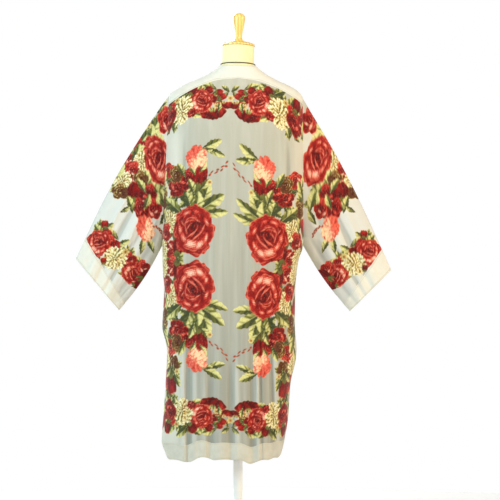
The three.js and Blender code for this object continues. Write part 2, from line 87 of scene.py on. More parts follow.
# Jacket body: height, left and right seam from the middle, half depth of back and front
BODY_SECTIONS = [
    (238, 206, 117, 137, 128), (269, 219, 131, 136, 128), (305, 230, 140, 135, 128),
    (377, 225, 152, 135, 129), (467, 219, 158, 134, 130), (575, 214, 177, 133, 131),
    (647, 228, 172, 133, 131), (755, 223, 173, 133, 131), (845, 228, 183, 132, 131),
    (887, 228, 196, 131, 131), (1100, 217, 195, 124, 129), (1180, 214, 195, 122, 126),
    (1240, 211, 194, 117, 118), (1290, 209, 194, 105, 105), (1335, 206, 194, 84, 84),
    (1344, 196, 189, 77.5, 77.5),
]
CLOSE_FIT, NECK_FIT = 1350, 1400    # heights over which the jacket follows the form
for _height, _width, _depth in FORM_SECTIONS:
    if _height > CLOSE_FIT:
        _ease = HANG + (NECK_EASE if _height > NECK_FIT else 0)
        BODY_SECTIONS.append((_height + LIFT, *[_width + _ease] * 2, *[_depth + _ease] * 2))

# Lower edge of the shoulder border: distance from the middle, height
SHOULDER_BORDER_EDGE = [(0, 1387), (60, 1380), (110, 1364), (150, 1344), (185, 1322), (212, 1303)]

# Slow waves of the hem: place across at the yoke line, lift
HEM_WAVES = [(-200, 6), (-124, -5), (-78, 14), (-56, 9), (6, 11), (46, 1), (95, 13), (194, 11)]

# Free edges of the fronts: height, left, right
FRONT_EDGES = [(238, 92, 16), (785, 79, 31), (887, 75, 40), (1270, 60.5, 60.5), (1423, 60.5, 60.5)]

# Large hanging folds: place across, height where each starts, half width, depth at the hem
BACK_FOLDS = [
    (-176, 1240, 20, 7), (-112, 820, 24, 7), (-52, 700, 22, 9), (14, 900, 24, 7),
    (74, 760, 22, 10), (122, 980, 18, 6),
]
FRONT_FOLDS = [(-168, 1180, 22, 7), (-112, 900, 20, 8), (54, 760, 20, 8), (112, 1080, 20, 7)]

# Sleeves: armhole, mouth, and how far the two edges bow out between them
Sleeve = namedtuple("Sleeve", "sign top foot cuff_top cuff_foot bow_top bow_foot")
SLEEVES = {
    "left": Sleeve(-1, 206, 228, (486, 848), (357, 695), 18, 9),
    "right": Sleeve(1, 194, 196, (459, 815), (336, 692), 11, 8),
}
SLEEVE_FOLDS = [(0.75, 0.25, 0.2, 6), (0.1, -0.45, 0.22, 7)]

NECK_RADIUS, NECK_FOOT_RADIUS, NECK_HEIGHT = 47, 49.5, 58
CORD_RADIUS, CORD_THICKNESS = 51.3, 3
PLATE_RADIUS, PLATE_RIM, PLATE_DOME = 49.5, 5, 8
FINIAL_HEIGHT, FINIAL_FOOT, FINIAL_WAIST, FINIAL_WAIST_AT = 87, 17, 9.6, 14
FINIAL_SHOULDER, FINIAL_SHOULDER_AT = 18.6, 72
POLE_RADIUS = 14
UNDERPLATE_RADIUS, UNDERPLATE_THICKNESS = 34, 10
BASE_RADIUS, BASE_THICKNESS, HUB_RADIUS, HUB_HEIGHT = 180, 14, 34, 46

# ---- creases that the cloth shows, finer than the large folds ---------------------------
# place across, top, foot, half width, depth (a trough is below zero), drift per metre down

BACK_CREASES = [
    (-186, 1250, 980, 9, 2.2, 12), (-160, 1235, 900, 5, -2.2, 14), (-146, 1200, 820, 6, 1.6, 10),
    (-128, 640, 200, 7, 2.6, -6), (-148, 700, 200, 6, -3.2, 0), (-166, 620, 200, 6, 3.4, 18),
    (-84, 560, 200, 7, -2.8, 0), (-70, 1060, 640, 8, 1.2, -10), (-30, 1230, 760, 9, 1.0, 6),
    (-22, 600, 200, 6, -3.0, 0), (-4, 620, 200, 7, 2.2, 8), (34, 1190, 700, 9, 1.1, -8),
    (40, 640, 200, 6, -3.2, 6), (56, 700, 200, 4, 3.2, 14), (64, 690, 200, 3.6, -4.2, 16),
    (96, 760, 200, 5, -4.0, 14), (108, 820, 200, 5, 3.0, 18), (136, 1240, 860, 7, 1.6, -8),
    (150, 1235, 900, 5, -2.4, -6), (164, 1200, 860, 7, 2.0, 6), (140, 620, 420, 9, 3.0, -16),
]
FRONT_CREASES = [
    (-178, 1240, 900, 9, 2.0, 8), (-150, 1200, 300, 7, 2.2, -8), (-134, 760, 200, 6, -3.0, 0),
    (-92, 840, 200, 7, -2.8, 6), (-100, 1210, 800, 8, 1.4, 10), (-76, 640, 200, 6, 2.4, -6),
    (36, 700, 200, 6, -2.6, 8), (72, 800, 200, 6, -3.0, 6), (92, 1200, 500, 8, 1.8, -8),
    (130, 900, 200, 6, -3.0, -10), (148, 1240, 700, 8, 2.0, 4),
]
# A sleeve's creases: share of the height at the root and at the mouth, where along it each
# is deepest, half width as a share, depth
SLEEVE_CREASES = [
    (0.92, 0.86, 0.35, 0.05, 1.8), (0.62, 0.55, 0.75, 0.04, -2.2), (0.52, 0.42, 0.7, 0.05, 2.0),
    (0.34, 0.36, 0.8, 0.035, -2.4), (0.26, 0.24, 0.6, 0.05, 2.2), (0.12, 0.16, 0.55, 0.04, -1.8),
    (0.78, 0.70, 0.85, 0.04, 1.8), (0.06, 0.05, 0.2, 0.05, 2.0),
]
CREASE_EASE = 140               # height over which a crease sets in, or runs out
CREASE_SPREAD = 0.35, 500       # how much wider a crease gets, and over what height
CREASE_TOP = 1262, 60           # where all creases begin, and the height over which they set in
SLEEVE_REACH, SLEEVE_RIPPLE_REACH = 0.45, 0.3   # how far along a sleeve a crease goes, as a share
SLEEVE_GAIN = 1.4               # how much deeper the sleeves' creases are than the tables say
FOLD_SHADE = 0.22               # how much a large fold counts in the painted light and shade of the creases
BODY_FOLD_MIDDLE, SLEEVE_FOLD_MIDDLE = 3.5, 3
# Small uneven folds besides those, each face's own: place across, top, half width, depth, drift
RIPPLE_SEED = 41
RIPPLES, RIPPLE_EASE = 34, 160
RIPPLE_RANGES = [(-215, 195), (420, 1120), (4, 9), (-1.5, 1.5), (-30, 30)]
HIGH_RIPPLE, RIPPLE_LENGTH = 760, 420   # one that starts above this height is this long
# A sleeve's ripples, in the order of its creases
SLEEVE_SEED, SLEEVE_RIPPLES = 48, 18
SLEEVE_RIPPLE_RANGES = [(0.02, 0.98), (0.05, 0.95), (0.1, 1.0), (0.012, 0.03), (-1.2, 1.2)]

# ---- where the print's motifs lie --------------------------------------------------------
# The print repeats itself in four quarters about a cross, so a row gives one quarter:
# kind, distance across from the cross, distance up, half width, half height, turn in degrees

Motif = namedtuple("Motif", "kind across height wide tall turn")
CROSS_ACROSS, CROSS_HEIGHT = -22, 850

QUARTER = [
    # the column of mixed flowers down each side
    ("foliage", 184, 66, 44, 56, 90), ("foliage", 208, 146, 48, 50, 80),
    ("foliage", 182, 6, 46, 44, 90), ("foliage", 210, 232, 48, 50, 100),
    ("foliage", 192, 322, 46, 54, 90), ("foliage", 206, 388, 48, 44, 80),
    ("foliage", 240, 40, 44, 50, 90), ("foliage", 244, 190, 44, 56, 90),
    ("foliage", 240, 300, 44, 56, 90), ("leaf", 170, 58, 38, 13, 100),
    ("leaf", 206, 26, 34, 12, 66), ("leaf", 158, 8, 30, 11, 120), ("mum", 190, 112, 32, 38, 0),
    ("small_rose", 218, 76, 28, 34, 40), ("leaf", 226, 132, 34, 13, 80),
    ("small_rose", 190, 24, 27, 32, 160), ("bud", 162, 34, 19, 26, 10), ("mum", 234, 26, 28, 32, 0),
    ("brown_bloom", 226, 176, 28, 32, 30), ("leaf", 196, 158, 32, 12, 56),
    ("bud", 254, 120, 20, 30, 14), ("small_rose", 206, 268, 29, 34, 80),
    ("leaf", 232, 232, 36, 13, 118), ("mum", 236, 304, 28, 34, 0),
    ("brown_bloom", 186, 316, 26, 32, 0), ("leaf", 194, 344, 34, 13, 74),
    ("leaf", 244, 262, 32, 12, 60), ("small_rose", 228, 358, 28, 33, 10),
    ("bud", 194, 372, 22, 32, 10), ("leaf", 214, 336, 28, 10, 40), ("leaf", 172, 356, 30, 11, 120),
    ("daisy", 170, 336, 11, 10, 0),
    # foliage, leaves and blossoms round each large rose
    ("foliage", 118, 176, 62, 44, 96), ("foliage", 158, 196, 48, 46, 60),
    ("foliage", 96, 206, 40, 40, 110), ("leaf", 148, 186, 34, 14, 58),
    ("leaf", 134, 194, 46, 18, 84), ("leaf", 90, 178, 54, 18, 122), ("leaf", 64, 164, 56, 18, 146),
    ("leaf", 48, 138, 42, 13, 168), ("leaf", 74, 194, 40, 13, 108), ("leaf", 102, 164, 36, 17, 100),
    ("leaf", 174, 150, 38, 15, 36), ("leaf", 126, 166, 32, 15, 74),
    ("small_rose", 166, 212, 29, 35, 70), ("bud", 96, 240, 27, 38, 8),
    ("small_rose", 134, 236, 29, 36, 30), ("brown_bloom", 170, 252, 25, 29, 0),
    ("leaf", 116, 210, 28, 10, 70), ("leaf", 150, 264, 28, 10, 62), ("leaf", 78, 218, 24, 9, 130),
    ("daisy", 62, 226, 10, 9, 0), ("leaf", 114, 262, 18, 8, 60), ("leaf", 82, 272, 20, 8, 120),
    ("leaf", 56, 340, 34, 12, 154), ("leaf", 46, 318, 32, 10, 196), ("leaf", 70, 322, 18, 7, 176),
    ("coral", 102, 302, 36, 38, 12), ("sprig", 40, 268, 44, 18, 138), ("rose", 112, 82, 66, 77, 0),
    # the garland that runs across
    ("foliage", 150, 470, 60, 48, 90), ("foliage", 92, 478, 46, 38, 70),
    ("foliage", 214, 456, 56, 50, 80), ("foliage", 42, 470, 36, 30, 110),
    ("foliage", 262, 440, 50, 46, 100), ("foliage", 190, 424, 40, 36, 100),
    ("leaf", 148, 512, 26, 11, 40), ("leaf", 112, 508, 28, 11, 150), ("leaf", 176, 432, 32, 12, 96),
    ("leaf", 62, 510, 24, 10, 20), ("leaf", 106, 428, 24, 9, 200), ("leaf", 186, 498, 28, 11, 62),
    ("leaf", 46, 490, 18, 7, 160), ("leaf", 48, 470, 18, 7, 200), ("leaf", 14, 504, 16, 7, 40),
    ("leaf", 12, 486, 15, 6, 300), ("bud", 66, 498, 12, 15, 60), ("bud", 34, 494, 10, 13, 100),
    ("bud", 24, 480, 10, 12, 60), ("small_rose", 56, 474, 17, 15, 0),
    ("wide_bloom", 15, 457, 32, 18, 0), ("wide_bloom", 52, 432, 37, 30, -10),
    ("daisy", 0, 476, 11, 10, 0), ("daisy", 42, 452, 9, 9, 0), ("leaf", 34, 448, 16, 6, 100),
    ("rose", 90, 466, 37, 37, 60), ("mum", 148, 454, 37, 42, 0), ("daisy", 168, 492, 12, 11, 0),
    ("leaf", 206, 436, 28, 11, 80), ("small_rose", 198, 456, 28, 42, 30),
    ("bud", 116, 502, 14, 16, 30), ("small_rose", 118, 434, 15, 14, 0),
    ("leaf", 220, 494, 30, 12, 110), ("small_rose", 236, 462, 27, 34, 0),
    ("bud", 256, 482, 20, 30, 30), ("leaf", 248, 444, 30, 12, 70), ("mum", 280, 452, 30, 36, 0),
    ("bud", 208, 500, 16, 22, -20),
]
SIDE_COLUMN = 150               # where the columns down the sides begin, across from the cross
UPPER_GAP = (300, 400)          # heights at which the columns are bare in the upper quarters
# How far the right half hangs below the left: height, drop; and where it sets in, over what width
RIGHT_DROP = [(240, 8), (420, 12), (620, 20), (900, 27), (1120, 36), (1250, 10), (1320, 0)]
RIGHT_HALF = -60, 150
# The print's arch at the shoulders and its tuck at the right hip: how far it is moved, then
# where that sets in and over what length, across and up
ARCH, ARCH_ACROSS, ARCH_UP = 46, (92, 140), (1090, 130)
TUCK, TUCK_ACROSS, TUCK_DOWN = 22, (40, 140), (930, 200)

# The sleeves: kind, distance from the form's axis, height, half width, half height, turn
SLEEVE_MOTIFS = [
    ("foliage", 246, 1240, 50, 46, 70), ("foliage", 286, 1190, 50, 50, 110),
    ("foliage", 318, 1130, 52, 50, 90), ("foliage", 256, 1060, 54, 50, 80),
    ("foliage", 348, 1076, 46, 46, 80), ("foliage", 232, 1010, 46, 46, 70),
    ("foliage", 292, 1040, 52, 46, 90), ("foliage", 232, 1300, 36, 30, 90),
    ("leaf", 238, 1296, 28, 11, 70), ("leaf", 252, 1240, 38, 13, 120),
    ("leaf", 236, 1206, 34, 12, 60), ("small_rose", 214, 1262, 28, 44, 0),
    ("leaf", 288, 1204, 38, 14, 128), ("leaf", 262, 1218, 34, 12, 100),
    ("daisy", 268, 1250, 13, 12, 0), ("small_rose", 296, 1186, 22, 26, 0),
    ("small_rose", 262, 1196, 20, 24, 40), ("leaf", 278, 1174, 26, 9, 30),
    ("small_rose", 328, 1148, 22, 26, 0), ("leaf", 306, 1160, 36, 13, 110),
    ("mum", 284, 1140, 30, 42, 20), ("leaf", 272, 1076, 38, 14, 84),
    ("leaf", 240, 1046, 40, 15, 60), ("leaf", 222, 1020, 38, 12, 76),
    ("leaf", 250, 1018, 32, 12, 110), ("rose", 236, 1140, 42, 78, -14),
    ("small_rose", 318, 1112, 27, 32, 30), ("brown_bloom", 290, 1086, 24, 28, 0),
    ("mum", 346, 1082, 30, 34, 0), ("leaf", 360, 1110, 30, 12, 130),
    ("leaf", 330, 1036, 32, 12, 40), ("brown_bloom", 352, 1050, 29, 25, 0),
    ("small_rose", 270, 1044, 29, 31, 30), ("bud", 306, 1046, 25, 33, 10),
    ("leaf", 288, 1066, 26, 9, 60), ("small_rose", 254, 996, 28, 33, 0),
    ("small_rose", 290, 1000, 26, 32, -14), ("leaf", 272, 1018, 24, 9, 110),
    ("leaf", 322, 1010, 28, 10, 76), ("leaf", 262, 890, 28, 9, 68), ("leaf", 288, 886, 26, 9, 100),
    ("coral", 276, 940, 29, 43, -12), ("sprig", 236, 932, 22, 12, 40),
    ("leaf", 222, 972, 26, 10, 120), ("leaf", 338, 996, 18, 7, 150),
]
# The garland near a sleeve's mouth: kind, distance in from the mouth, share of the height,
# half width, half height, turn
CUFF_GARLAND = [
    ("foliage", 94, 0.88, 46, 42, 90), ("foliage", 92, 0.60, 48, 38, 90),
    ("foliage", 84, 0.28, 48, 38, 90), ("foliage", 80, 0.06, 36, 32, 90),
    ("foliage", 124, 0.98, 34, 28, 90), ("foliage", 106, 0.44, 40, 30, 90),
    ("leaf", 136, 0.93, 28, 11, 150), ("leaf", 116, 0.99, 26, 11, 60),
    ("leaf", 132, 0.80, 24, 10, 40), ("bud", 122, 0.88, 14, 18, 40),
    ("leaf", 130, 0.62, 24, 9, 160), ("leaf", 60, 0.84, 18, 7, 60), ("leaf", 60, 0.38, 20, 8, 20),
    ("leaf", 116, 0.30, 24, 9, 40), ("leaf", 64, 0.06, 20, 8, 110),
    ("small_rose", 104, 0.74, 28, 32, 0), ("small_rose", 102, 0.42, 24, 26, 0),
    ("rose", 88, 0.91, 38, 41, 30), ("mum", 82, 0.60, 36, 40, 60), ("daisy", 114, 0.52, 12, 11, 0),
    ("rose", 78, 0.27, 35, 37, 120), ("small_rose", 108, 0.20, 22, 24, 0),
    ("bud", 92, 0.08, 21, 25, 70), ("bud", 56, 0.14, 11, 14, 100), ("bud", 56, 0.72, 9, 11, 0),
    ("small_rose", 72, 0.03, 20, 22, 0), ("bud", 142, 0.97, 11, 13, 0),
]
# The garland's slant across the sleeve: added distance in, its rise over the mouth's height and
# the share where that is nothing, how it is stretched and shifted up, and its turn in degrees
GARLAND_IN, GARLAND_SLANT, GARLAND_MIDDLE = 10, 50, 0.6
GARLAND_STRETCH, GARLAND_SHIFT, GARLAND_TURN = 1.12, 0.20, 50


def dye(red, green, blue):
    """Linear colour of an sRGB dye given in 0 to 255"""
    return tuple(((c / 255 + 0.055) / 1.055) ** 2.4 if c > 10 else c / 3294 for c in (red, green, blue))


def colour_property(name, description, default):
    return FloatVectorProperty(
        name=name, description=description, subtype="COLOR", size=3, min=0, max=1, default=default)


def length_property(name, description, default, low=0.0, high=10.0):
    return FloatProperty(
        name=name, description=description, unit="LENGTH", default=default, min=low, max=high,
        precision=5)


def power_property(name, description, default):
    return FloatProperty(name=name, description=description, unit="POWER", default=default, min=0)


def share_property(name, description, default, high=2.0):
    return FloatProperty(
        name=name, description=description, subtype="FACTOR", default=default, min=0, max=high)


class KimonoCloth(bpy.types.PropertyGroup):
    """Sizes and colours of the jacket's cloth"""
    point_spacing: length_property(
        "Point spacing", "Distance between the points of the cloth", 0.0022, 0.001, 0.02)
    border_wall: length_property(
        "Border thickness", "Thickness of the folded borders", 0.0011, 0.0002, 0.0015)
    thread: length_property(
        "Thread", "Distance between two threads of the weave", 0.0011, 0.0002, 0.01)
    stitch: length_property("Stitch", "Length of one stitch and its gap", 0.0034, 0.001, 0.02)
    stitch_inset: length_property(
        "Stitch inset", "Distance of the stitch line from an edge", 0.0035, 0.001, 0.02)
    crease_depth: share_property("Crease depth", "Depth of the fine creases, as a multiple", 1.35, 1.5)
    # The ground's colour is partly the chiffon's own and partly painted shade: the shaded inside of the
    # jacket seen through the sheer cloth
    ground: colour_property("Ground", "Colour of the sheer ground", dye(176, 172, 154))
    # Painted shade: the ground darker towards the hem, as light falls off downwards
    ground_low: colour_property("Ground, low", "Colour of the ground towards the hem", dye(148, 147, 134))
    border: colour_property("Border", "Colour of the opaque borders", dye(218, 214, 199))
    # Painted shade: the borders darker at the hem, as light falls off downwards
    border_low: colour_property("Border, low", "Colour of the borders at the hem", dye(192, 187, 170))
    thread_colour: colour_property("Sewing thread", "Colour of the stitches", dye(184, 174, 144))


class KimonoPrint(bpy.types.PropertyGroup):
    """Dyes of the printed flowers and leaves"""
    rose_dark: colour_property("Rose, dark", "Base of a rose's petals", dye(92, 5, 3))
    rose_red: colour_property("Rose, red", "Body of a rose's petals", dye(138, 15, 10))
    rose_bright: colour_property("Rose, bright", "Upper part of a rose's petals", dye(192, 46, 32))
    rose_rim: colour_property("Rose, rim", "Rim of a rose's petals", dye(222, 104, 80))
    rose_pale: colour_property("Rose, pale", "Turned petals of a rose", dye(238, 196, 166))
    coral: colour_property("Coral", "Body of the coral buds", dye(228, 100, 78))
    coral_pale: colour_property("Coral, pale", "Rim of the coral buds", dye(250, 206, 158))
    bud_dark: colour_property("Bud, dark", "Shade in the dark red buds", dye(70, 6, 4))
    leaf_dark: colour_property("Leaf, dark", "Shaded half of a leaf", dye(60, 66, 36))
    leaf_olive: colour_property("Leaf, olive", "Middle tone of a leaf", dye(112, 112, 46))
    leaf_light: colour_property("Leaf, light", "Lit half of a leaf", dye(216, 208, 134))
    mum_light: colour_property("Chrysanthemum, light", "Petals of the yellow flowers", dye(226, 212, 140))
    mum_cream: colour_property("Chrysanthemum, cream", "Tips of the yellow petals", dye(242, 234, 194))
    mum_gold: colour_property("Chrysanthemum, gold", "Petal edges of the yellow flowers", dye(170, 126, 56))
    mum_gap: colour_property("Chrysanthemum, gap", "Shade between the petals", dye(92, 52, 24))


class KimonoForm(bpy.types.PropertyGroup):
    """Sizes and colours of the dress form and its stand"""
    knit: length_property("Knit", "Distance between two ribs of the cover's jersey", 0.0016, 0.0005, 0.01)
    cover: colour_property("Cover", "Colour of the jersey cover", dye(238, 228, 176))
    wood: colour_property("Wood", "Light part of the wood's grain", dye(236, 204, 104))
    wood_grain: colour_property("Wood, grain", "Dark part of the wood's grain", dye(188, 134, 44))
    cord: colour_property("Cord", "Colour of the cord round the neck", dye(34, 30, 26))
    paint: colour_property("Paint", "Colour of the painted steel", dye(240, 239, 234))


class KimonoStage(bpy.types.PropertyGroup):
    """Floor, light and camera"""
    floor_radius: length_property("Floor radius", "Radius of the round floor", 2.2, 0.5, 10)
    camera_height: length_property("Camera height", "Height of the camera over the floor", 0.875, 0, 4)
    camera_across: length_property("Camera shift", "Camera's place across the form's axis", 0.036, -1, 1)
    camera_distance: length_property(
        "Camera distance", "Distance of the camera from the form's axis", 10, 1, 40)
    field: length_property("Field", "Width that the camera sees at the form's axis", 1.5, 0.5, 5)
    key_power: power_property("Key light", "Power of the warm key light", 125)
    fill_power: power_property("Fill light", "Power of the cool fill light", 130)
    top_power: power_property("Top light", "Power of the top light", 60)
    front_power: power_property("Front light", "Power of the light on the far side", 150)
    world: share_property("Surroundings", "Brightness of the white surroundings", 1.0)
    sky: share_property("Upper surroundings", "Brightness of the surroundings overhead", 0.30)
    key_colour: colour_property("Key colour", "Colour of the key light", (1.0, 0.78, 0.46))
    fill_colour: colour_property("Fill colour", "Colour of the fill light", (0.56, 0.86, 1.0))
    floor: colour_property("Floor", "Colour of the floor", dye(246, 246, 246))


def settings(group):
    return getattr(bpy.context.scene, group)


# ---- the surfaces of the jacket ----------------------------------------------------------

def smooth(t):
    t = np.clip(t, 0, 1)
    return t * t * (3 - 2 * t)


def mix(a, b, t):
    return a + (b - a) * t


def rise(value, start, span):
    return smooth((value - start) / span)


def fall(value, start, span):
    return smooth((start - value) / span)


def swell(distance, width):
    return np.exp(-((distance / width) ** 2))


class Profile:
    """A smooth curve that rises and falls only where its table does"""

    def __init__(self, places, values):
        self.places, self.values = np.array(places, float), np.array(values, float)
        slope = np.diff(self.values) / np.diff(self.places)
        before, after = slope[:-1], slope[1:]
        with np.errstate(divide="ignore", invalid="ignore"):
            inner = np.where(before * after <= 0, 0, 2 * before * after / (before + after))
        self.bends = np.concatenate([slope[:1], inner, slope[-1:]])

    def __call__(self, place):
        place = np.clip(place, self.places[0], self.places[-1])
        i = np.clip(np.searchsorted(self.places, place, side="right") - 1, 0, len(self.places) - 2)
        span = self.places[i + 1] - self.places[i]
        t = (place - self.places[i]) / span
        return (self.values[i] * (1 + 2 * t) * (1 - t) ** 2 + self.bends[i] * span * t * (1 - t) ** 2
                + self.values[i + 1] * t * t * (3 - 2 * t) + self.bends[i + 1] * span * t * t * (t - 1))


def profiles(table, names):
    columns = list(zip(*table))
    return {name: Profile(columns[0], column) for name, column in zip(names, columns[1:])}


BODY = profiles(BODY_SECTIONS, ["left", "right", "back", "front"])
FORM = profiles(FORM_SECTIONS, ["width", "depth"])
EDGES = profiles(FRONT_EDGES, ["left", "right"])
BORDER_EDGE = Profile(*zip(*SHOULDER_BORDER_EDGE))
DROP = Profile(*zip(*RIGHT_DROP))
HEM_WAVE = Profile(*zip(*HEM_WAVES))


def lean(x, y, z):
    """The form's lean, as level shears: the neck forwards, the shoulders a little to the right"""
    return z - LEAN_FORWARD * rise(z, *FORWARD_FROM) * y - LEAN_SIDE * rise(z, *SIDE_FROM) * x


def seam_distance(side, height):
    sleeve = SLEEVES[side]
    straight = mix(sleeve.foot, sleeve.top, (height - UNDERARM) / (SHOULDER_POINT - UNDERARM))
    table = BODY[side](height)
    upper = np.where(height >= SHOULDER_POINT, table, straight)
    return np.where(height <= UNDERARM, table - UNDERARM_TUCK, upper)


def section(side, face, height):
    """Half depth, seam distance and full reach of the level section at each height"""
    depth, edge = BODY[face](height), seam_distance(side, height)
    middle = (SHOULDER_POINT + UNDERARM) / 2
    place = np.clip(np.abs((height - middle) / (SHOULDER_POINT - middle)), 0, 1)
    opening = SEAM / 2 + ARMHOLE_DEPTH * (1 - place * place) ** (LENS / 2)
    return depth, edge, edge / (1 - (opening / depth) ** ROUNDNESS) ** (1 / ROUNDNESS)


def depth_at(depth, reach, x):
    return depth * np.maximum(0, 1 - (np.abs(x) / reach) ** ROUNDNESS) ** (1 / ROUNDNESS)


def length_run(x, y):
    """Length along each row of points, from its first point"""
    steps = np.hypot(np.diff(x), np.diff(y))
    return np.concatenate([np.zeros(x.shape[:-1] + (1,)), np.cumsum(steps, -1)], -1)


def arc(side, face, height, steps=80):
    """Points of the level sections from the middle to the seam, with the length run so far"""
    depth, edge, reach = (np.asarray(a, float)[..., None] for a in section(side, face, height))
    end = np.arcsin(np.minimum(1, (edge / reach) ** (ROUNDNESS / 2)))
    x = reach * np.sin(end * np.arange(steps + 1) / steps) ** (2 / ROUNDNESS)
    y = depth_at(depth, reach, x)
    return x, y, length_run(x, y)


def between(known, value, wanted):
    """Reads the wanted column of each row's points where its known column has the value"""
    i = np.clip((known < value[..., None]).sum(-1) - 1, 0, known.shape[-1] - 2)[..., None]
    low, high = np.take_along_axis(known, i, -1), np.take_along_axis(known, i + 1, -1)
    t = np.clip((value[..., None] - low) / (high - low), 0, 1)
    return mix(np.take_along_axis(wanted, i, -1), np.take_along_axis(wanted, i + 1, -1), t)[..., 0]


def fold_depth(face, x, height):
    """How far the large folds and the fine creases stand out"""
    large, fine = np.zeros_like(x), np.zeros_like(x)
    folds, creases = (BACK_FOLDS, BACK_CREASES) if face == "back" else (FRONT_FOLDS, FRONT_CREASES)
    for at, top, width, depth in folds:
        large += depth * smooth((top - height) / (top - HEM)) * swell(x - at, width)
    for at, top, foot, width, depth, drift in creases:
        grown = fall(height, top, CREASE_EASE)
        grown = grown * (1 if foot <= HEM else rise(height, foot, CREASE_EASE))
        wide = width * (1 + CREASE_SPREAD[0] * fall(height, top, CREASE_SPREAD[1]))
        fine += depth * grown * swell(x - at - drift * (top - height) / METRE, wide)
    chance = np.random.default_rng(RIPPLE_SEED + (face == "front"))
    ripples = [chance.uniform(*ends, RIPPLES) for ends in RIPPLE_RANGES]
    for at, top, width, depth, drift in zip(*ripples):
        grown = fall(height, top, RIPPLE_EASE)
        if top > HIGH_RIPPLE:
            grown = grown * rise(height, top - RIPPLE_LENGTH, RIPPLE_EASE)
        fine += depth * grown * swell(x - at - drift * (top - height) / METRE, width)
    return large, fine * (settings("kimono_cloth").crease_depth * fall(height, *CREASE_TOP))


HALVINGS = 30                   # of the search for the ridge line's height


def shoulder_paths(side, face, columns, steps=120):
    """The line of each column from the shoulder or neckline down to the yoke line, and its run"""
    spread = columns / seam_distance(side, np.array(float(YOKE)))
    widening = lambda height: spread * seam_distance(side, np.minimum(height, SHOULDER_POINT))
    low, ridge = np.full(columns.shape, float(YOKE)), np.full(columns.shape, float(NECKLINE))
    for _ in range(HALVINGS):
        tried = (low + ridge) / 2
        under = (tried < SHOULDER_POINT) | (widening(tried) < section(side, face, tried)[1])
        low, ridge = np.where(under, tried, low), np.where(under, ridge, tried)
    z = ridge[:, None] - (ridge - YOKE)[:, None] * (np.arange(steps + 1) / steps) ** ROUNDNESS
    x = spread[:, None] * seam_distance(side, np.minimum(z, SHOULDER_POINT))
    depth, _, reach = section(side, face, z)
    y = np.maximum(SEAM / 2, depth_at(depth, reach, x))
    return x, z, length_run(y, z)


WIDENED_SEAM = 100, 60          # where the seam under the shoulder border widens, over what width
FLUTTER_SWELL = 2.7             # flutters of the hem from strong to weak


def body_cloth(side, face, columns, rows):
    """Places of a piece of the body, and where each lies on the flat print.

    Rows 0 to 1 are the shoulder border, 1 to 2 the yoke, 2 to 3 the chest, 3 to 4 the skirt and
    4 to 5 the hem border. A column is named by its distance from the middle at the yoke line.
    """
    sign, outward = SLEEVES[side].sign, -1 if face == "back" else 1
    yoke_x, _, yoke_run = arc(side, face, np.array(float(YOKE)))
    column_run = np.interp(columns, yoke_x, yoke_run)
    stretch = column_run / np.maximum(columns, 1e-6)
    px, pz, prun = shoulder_paths(side, face, columns)
    hem = HEM - HEM_RISE * np.cos((sign * columns - HEM_LOW) / HEM_PITCH) + HEM_WAVE(sign * columns)
    swelling = np.cos(columns / (FLUTTER_SWELL * FLUTTER_PITCH) + 1)
    hem = hem + HEM_FLUTTER * np.sin(sign * columns / FLUTTER_PITCH) * swelling
    places, print_across, print_height, creases = [], [], [], []
    for row in rows:
        if row < 2:
            border = between(-pz, -BORDER_EDGE(columns), prun)
            half = SEAM / 2 * (1 + rise(columns, *WIDENED_SEAM))
            run = row * (border - half) if row < 1 else mix(border + half, prun[:, -1], row - 1)
            x, z = between(prun, run, px), between(prun, run, pz)
            depth, _, reach = section(side, face, z)
            y = np.maximum(SEAM / 2, depth_at(depth, reach, x))
            across = x * np.maximum(stretch, 1)
            crease = np.zeros_like(x)
        else:
            z = np.full(columns.shape, mix(YOKE, UNDERARM, row - 2))
            if row >= 3:
                z = mix(UNDERARM, hem + BORDER + SEAM / 2, row - 3)
            if row >= 4:
                z = mix(hem + BORDER - SEAM / 2, hem, row - 4)
            ax, _, arun = arc(side, face, z)
            across = arun[:, -1] * column_run / yoke_run[-1]
            if face == "front":
                yoke_edge = np.interp(EDGES[side](YOKE), yoke_x, yoke_run)
                edge = between(ax, EDGES[side](z), arun)
                spread = (arun[:, -1] - edge - BORDER) / (yoke_run[-1] - yoke_edge - BORDER)
                from_edge = column_run - yoke_edge
                past_border = BORDER + (from_edge - BORDER) * spread
                across = edge + np.where(from_edge <= BORDER, from_edge, past_border)
            x = between(arun, across, ax)
            depth, _, reach = section(side, face, z)
            y = np.maximum(SEAM / 2, depth_at(depth, reach, x))
            large, fine = fold_depth(face, sign * x, z)
            y = y + (large + fine) * smooth(y / SIDE_FADE)
            # Depth of the creases, which the chiffon paints as light on the ridges and shade in the troughs
            crease = (fine + FOLD_SHADE * (large - BODY_FOLD_MIDDLE)) * smooth(y / SIDE_FADE)
        x, y = sign * x, outward * y
        places.append(np.stack([x, y, lean(x, y, z)], -1))
        print_across.append(sign * across)
        print_height.append(z)
        creases.append(crease)
    return np.array(places), np.array(print_across), np.array(print_height), np.array(creases)


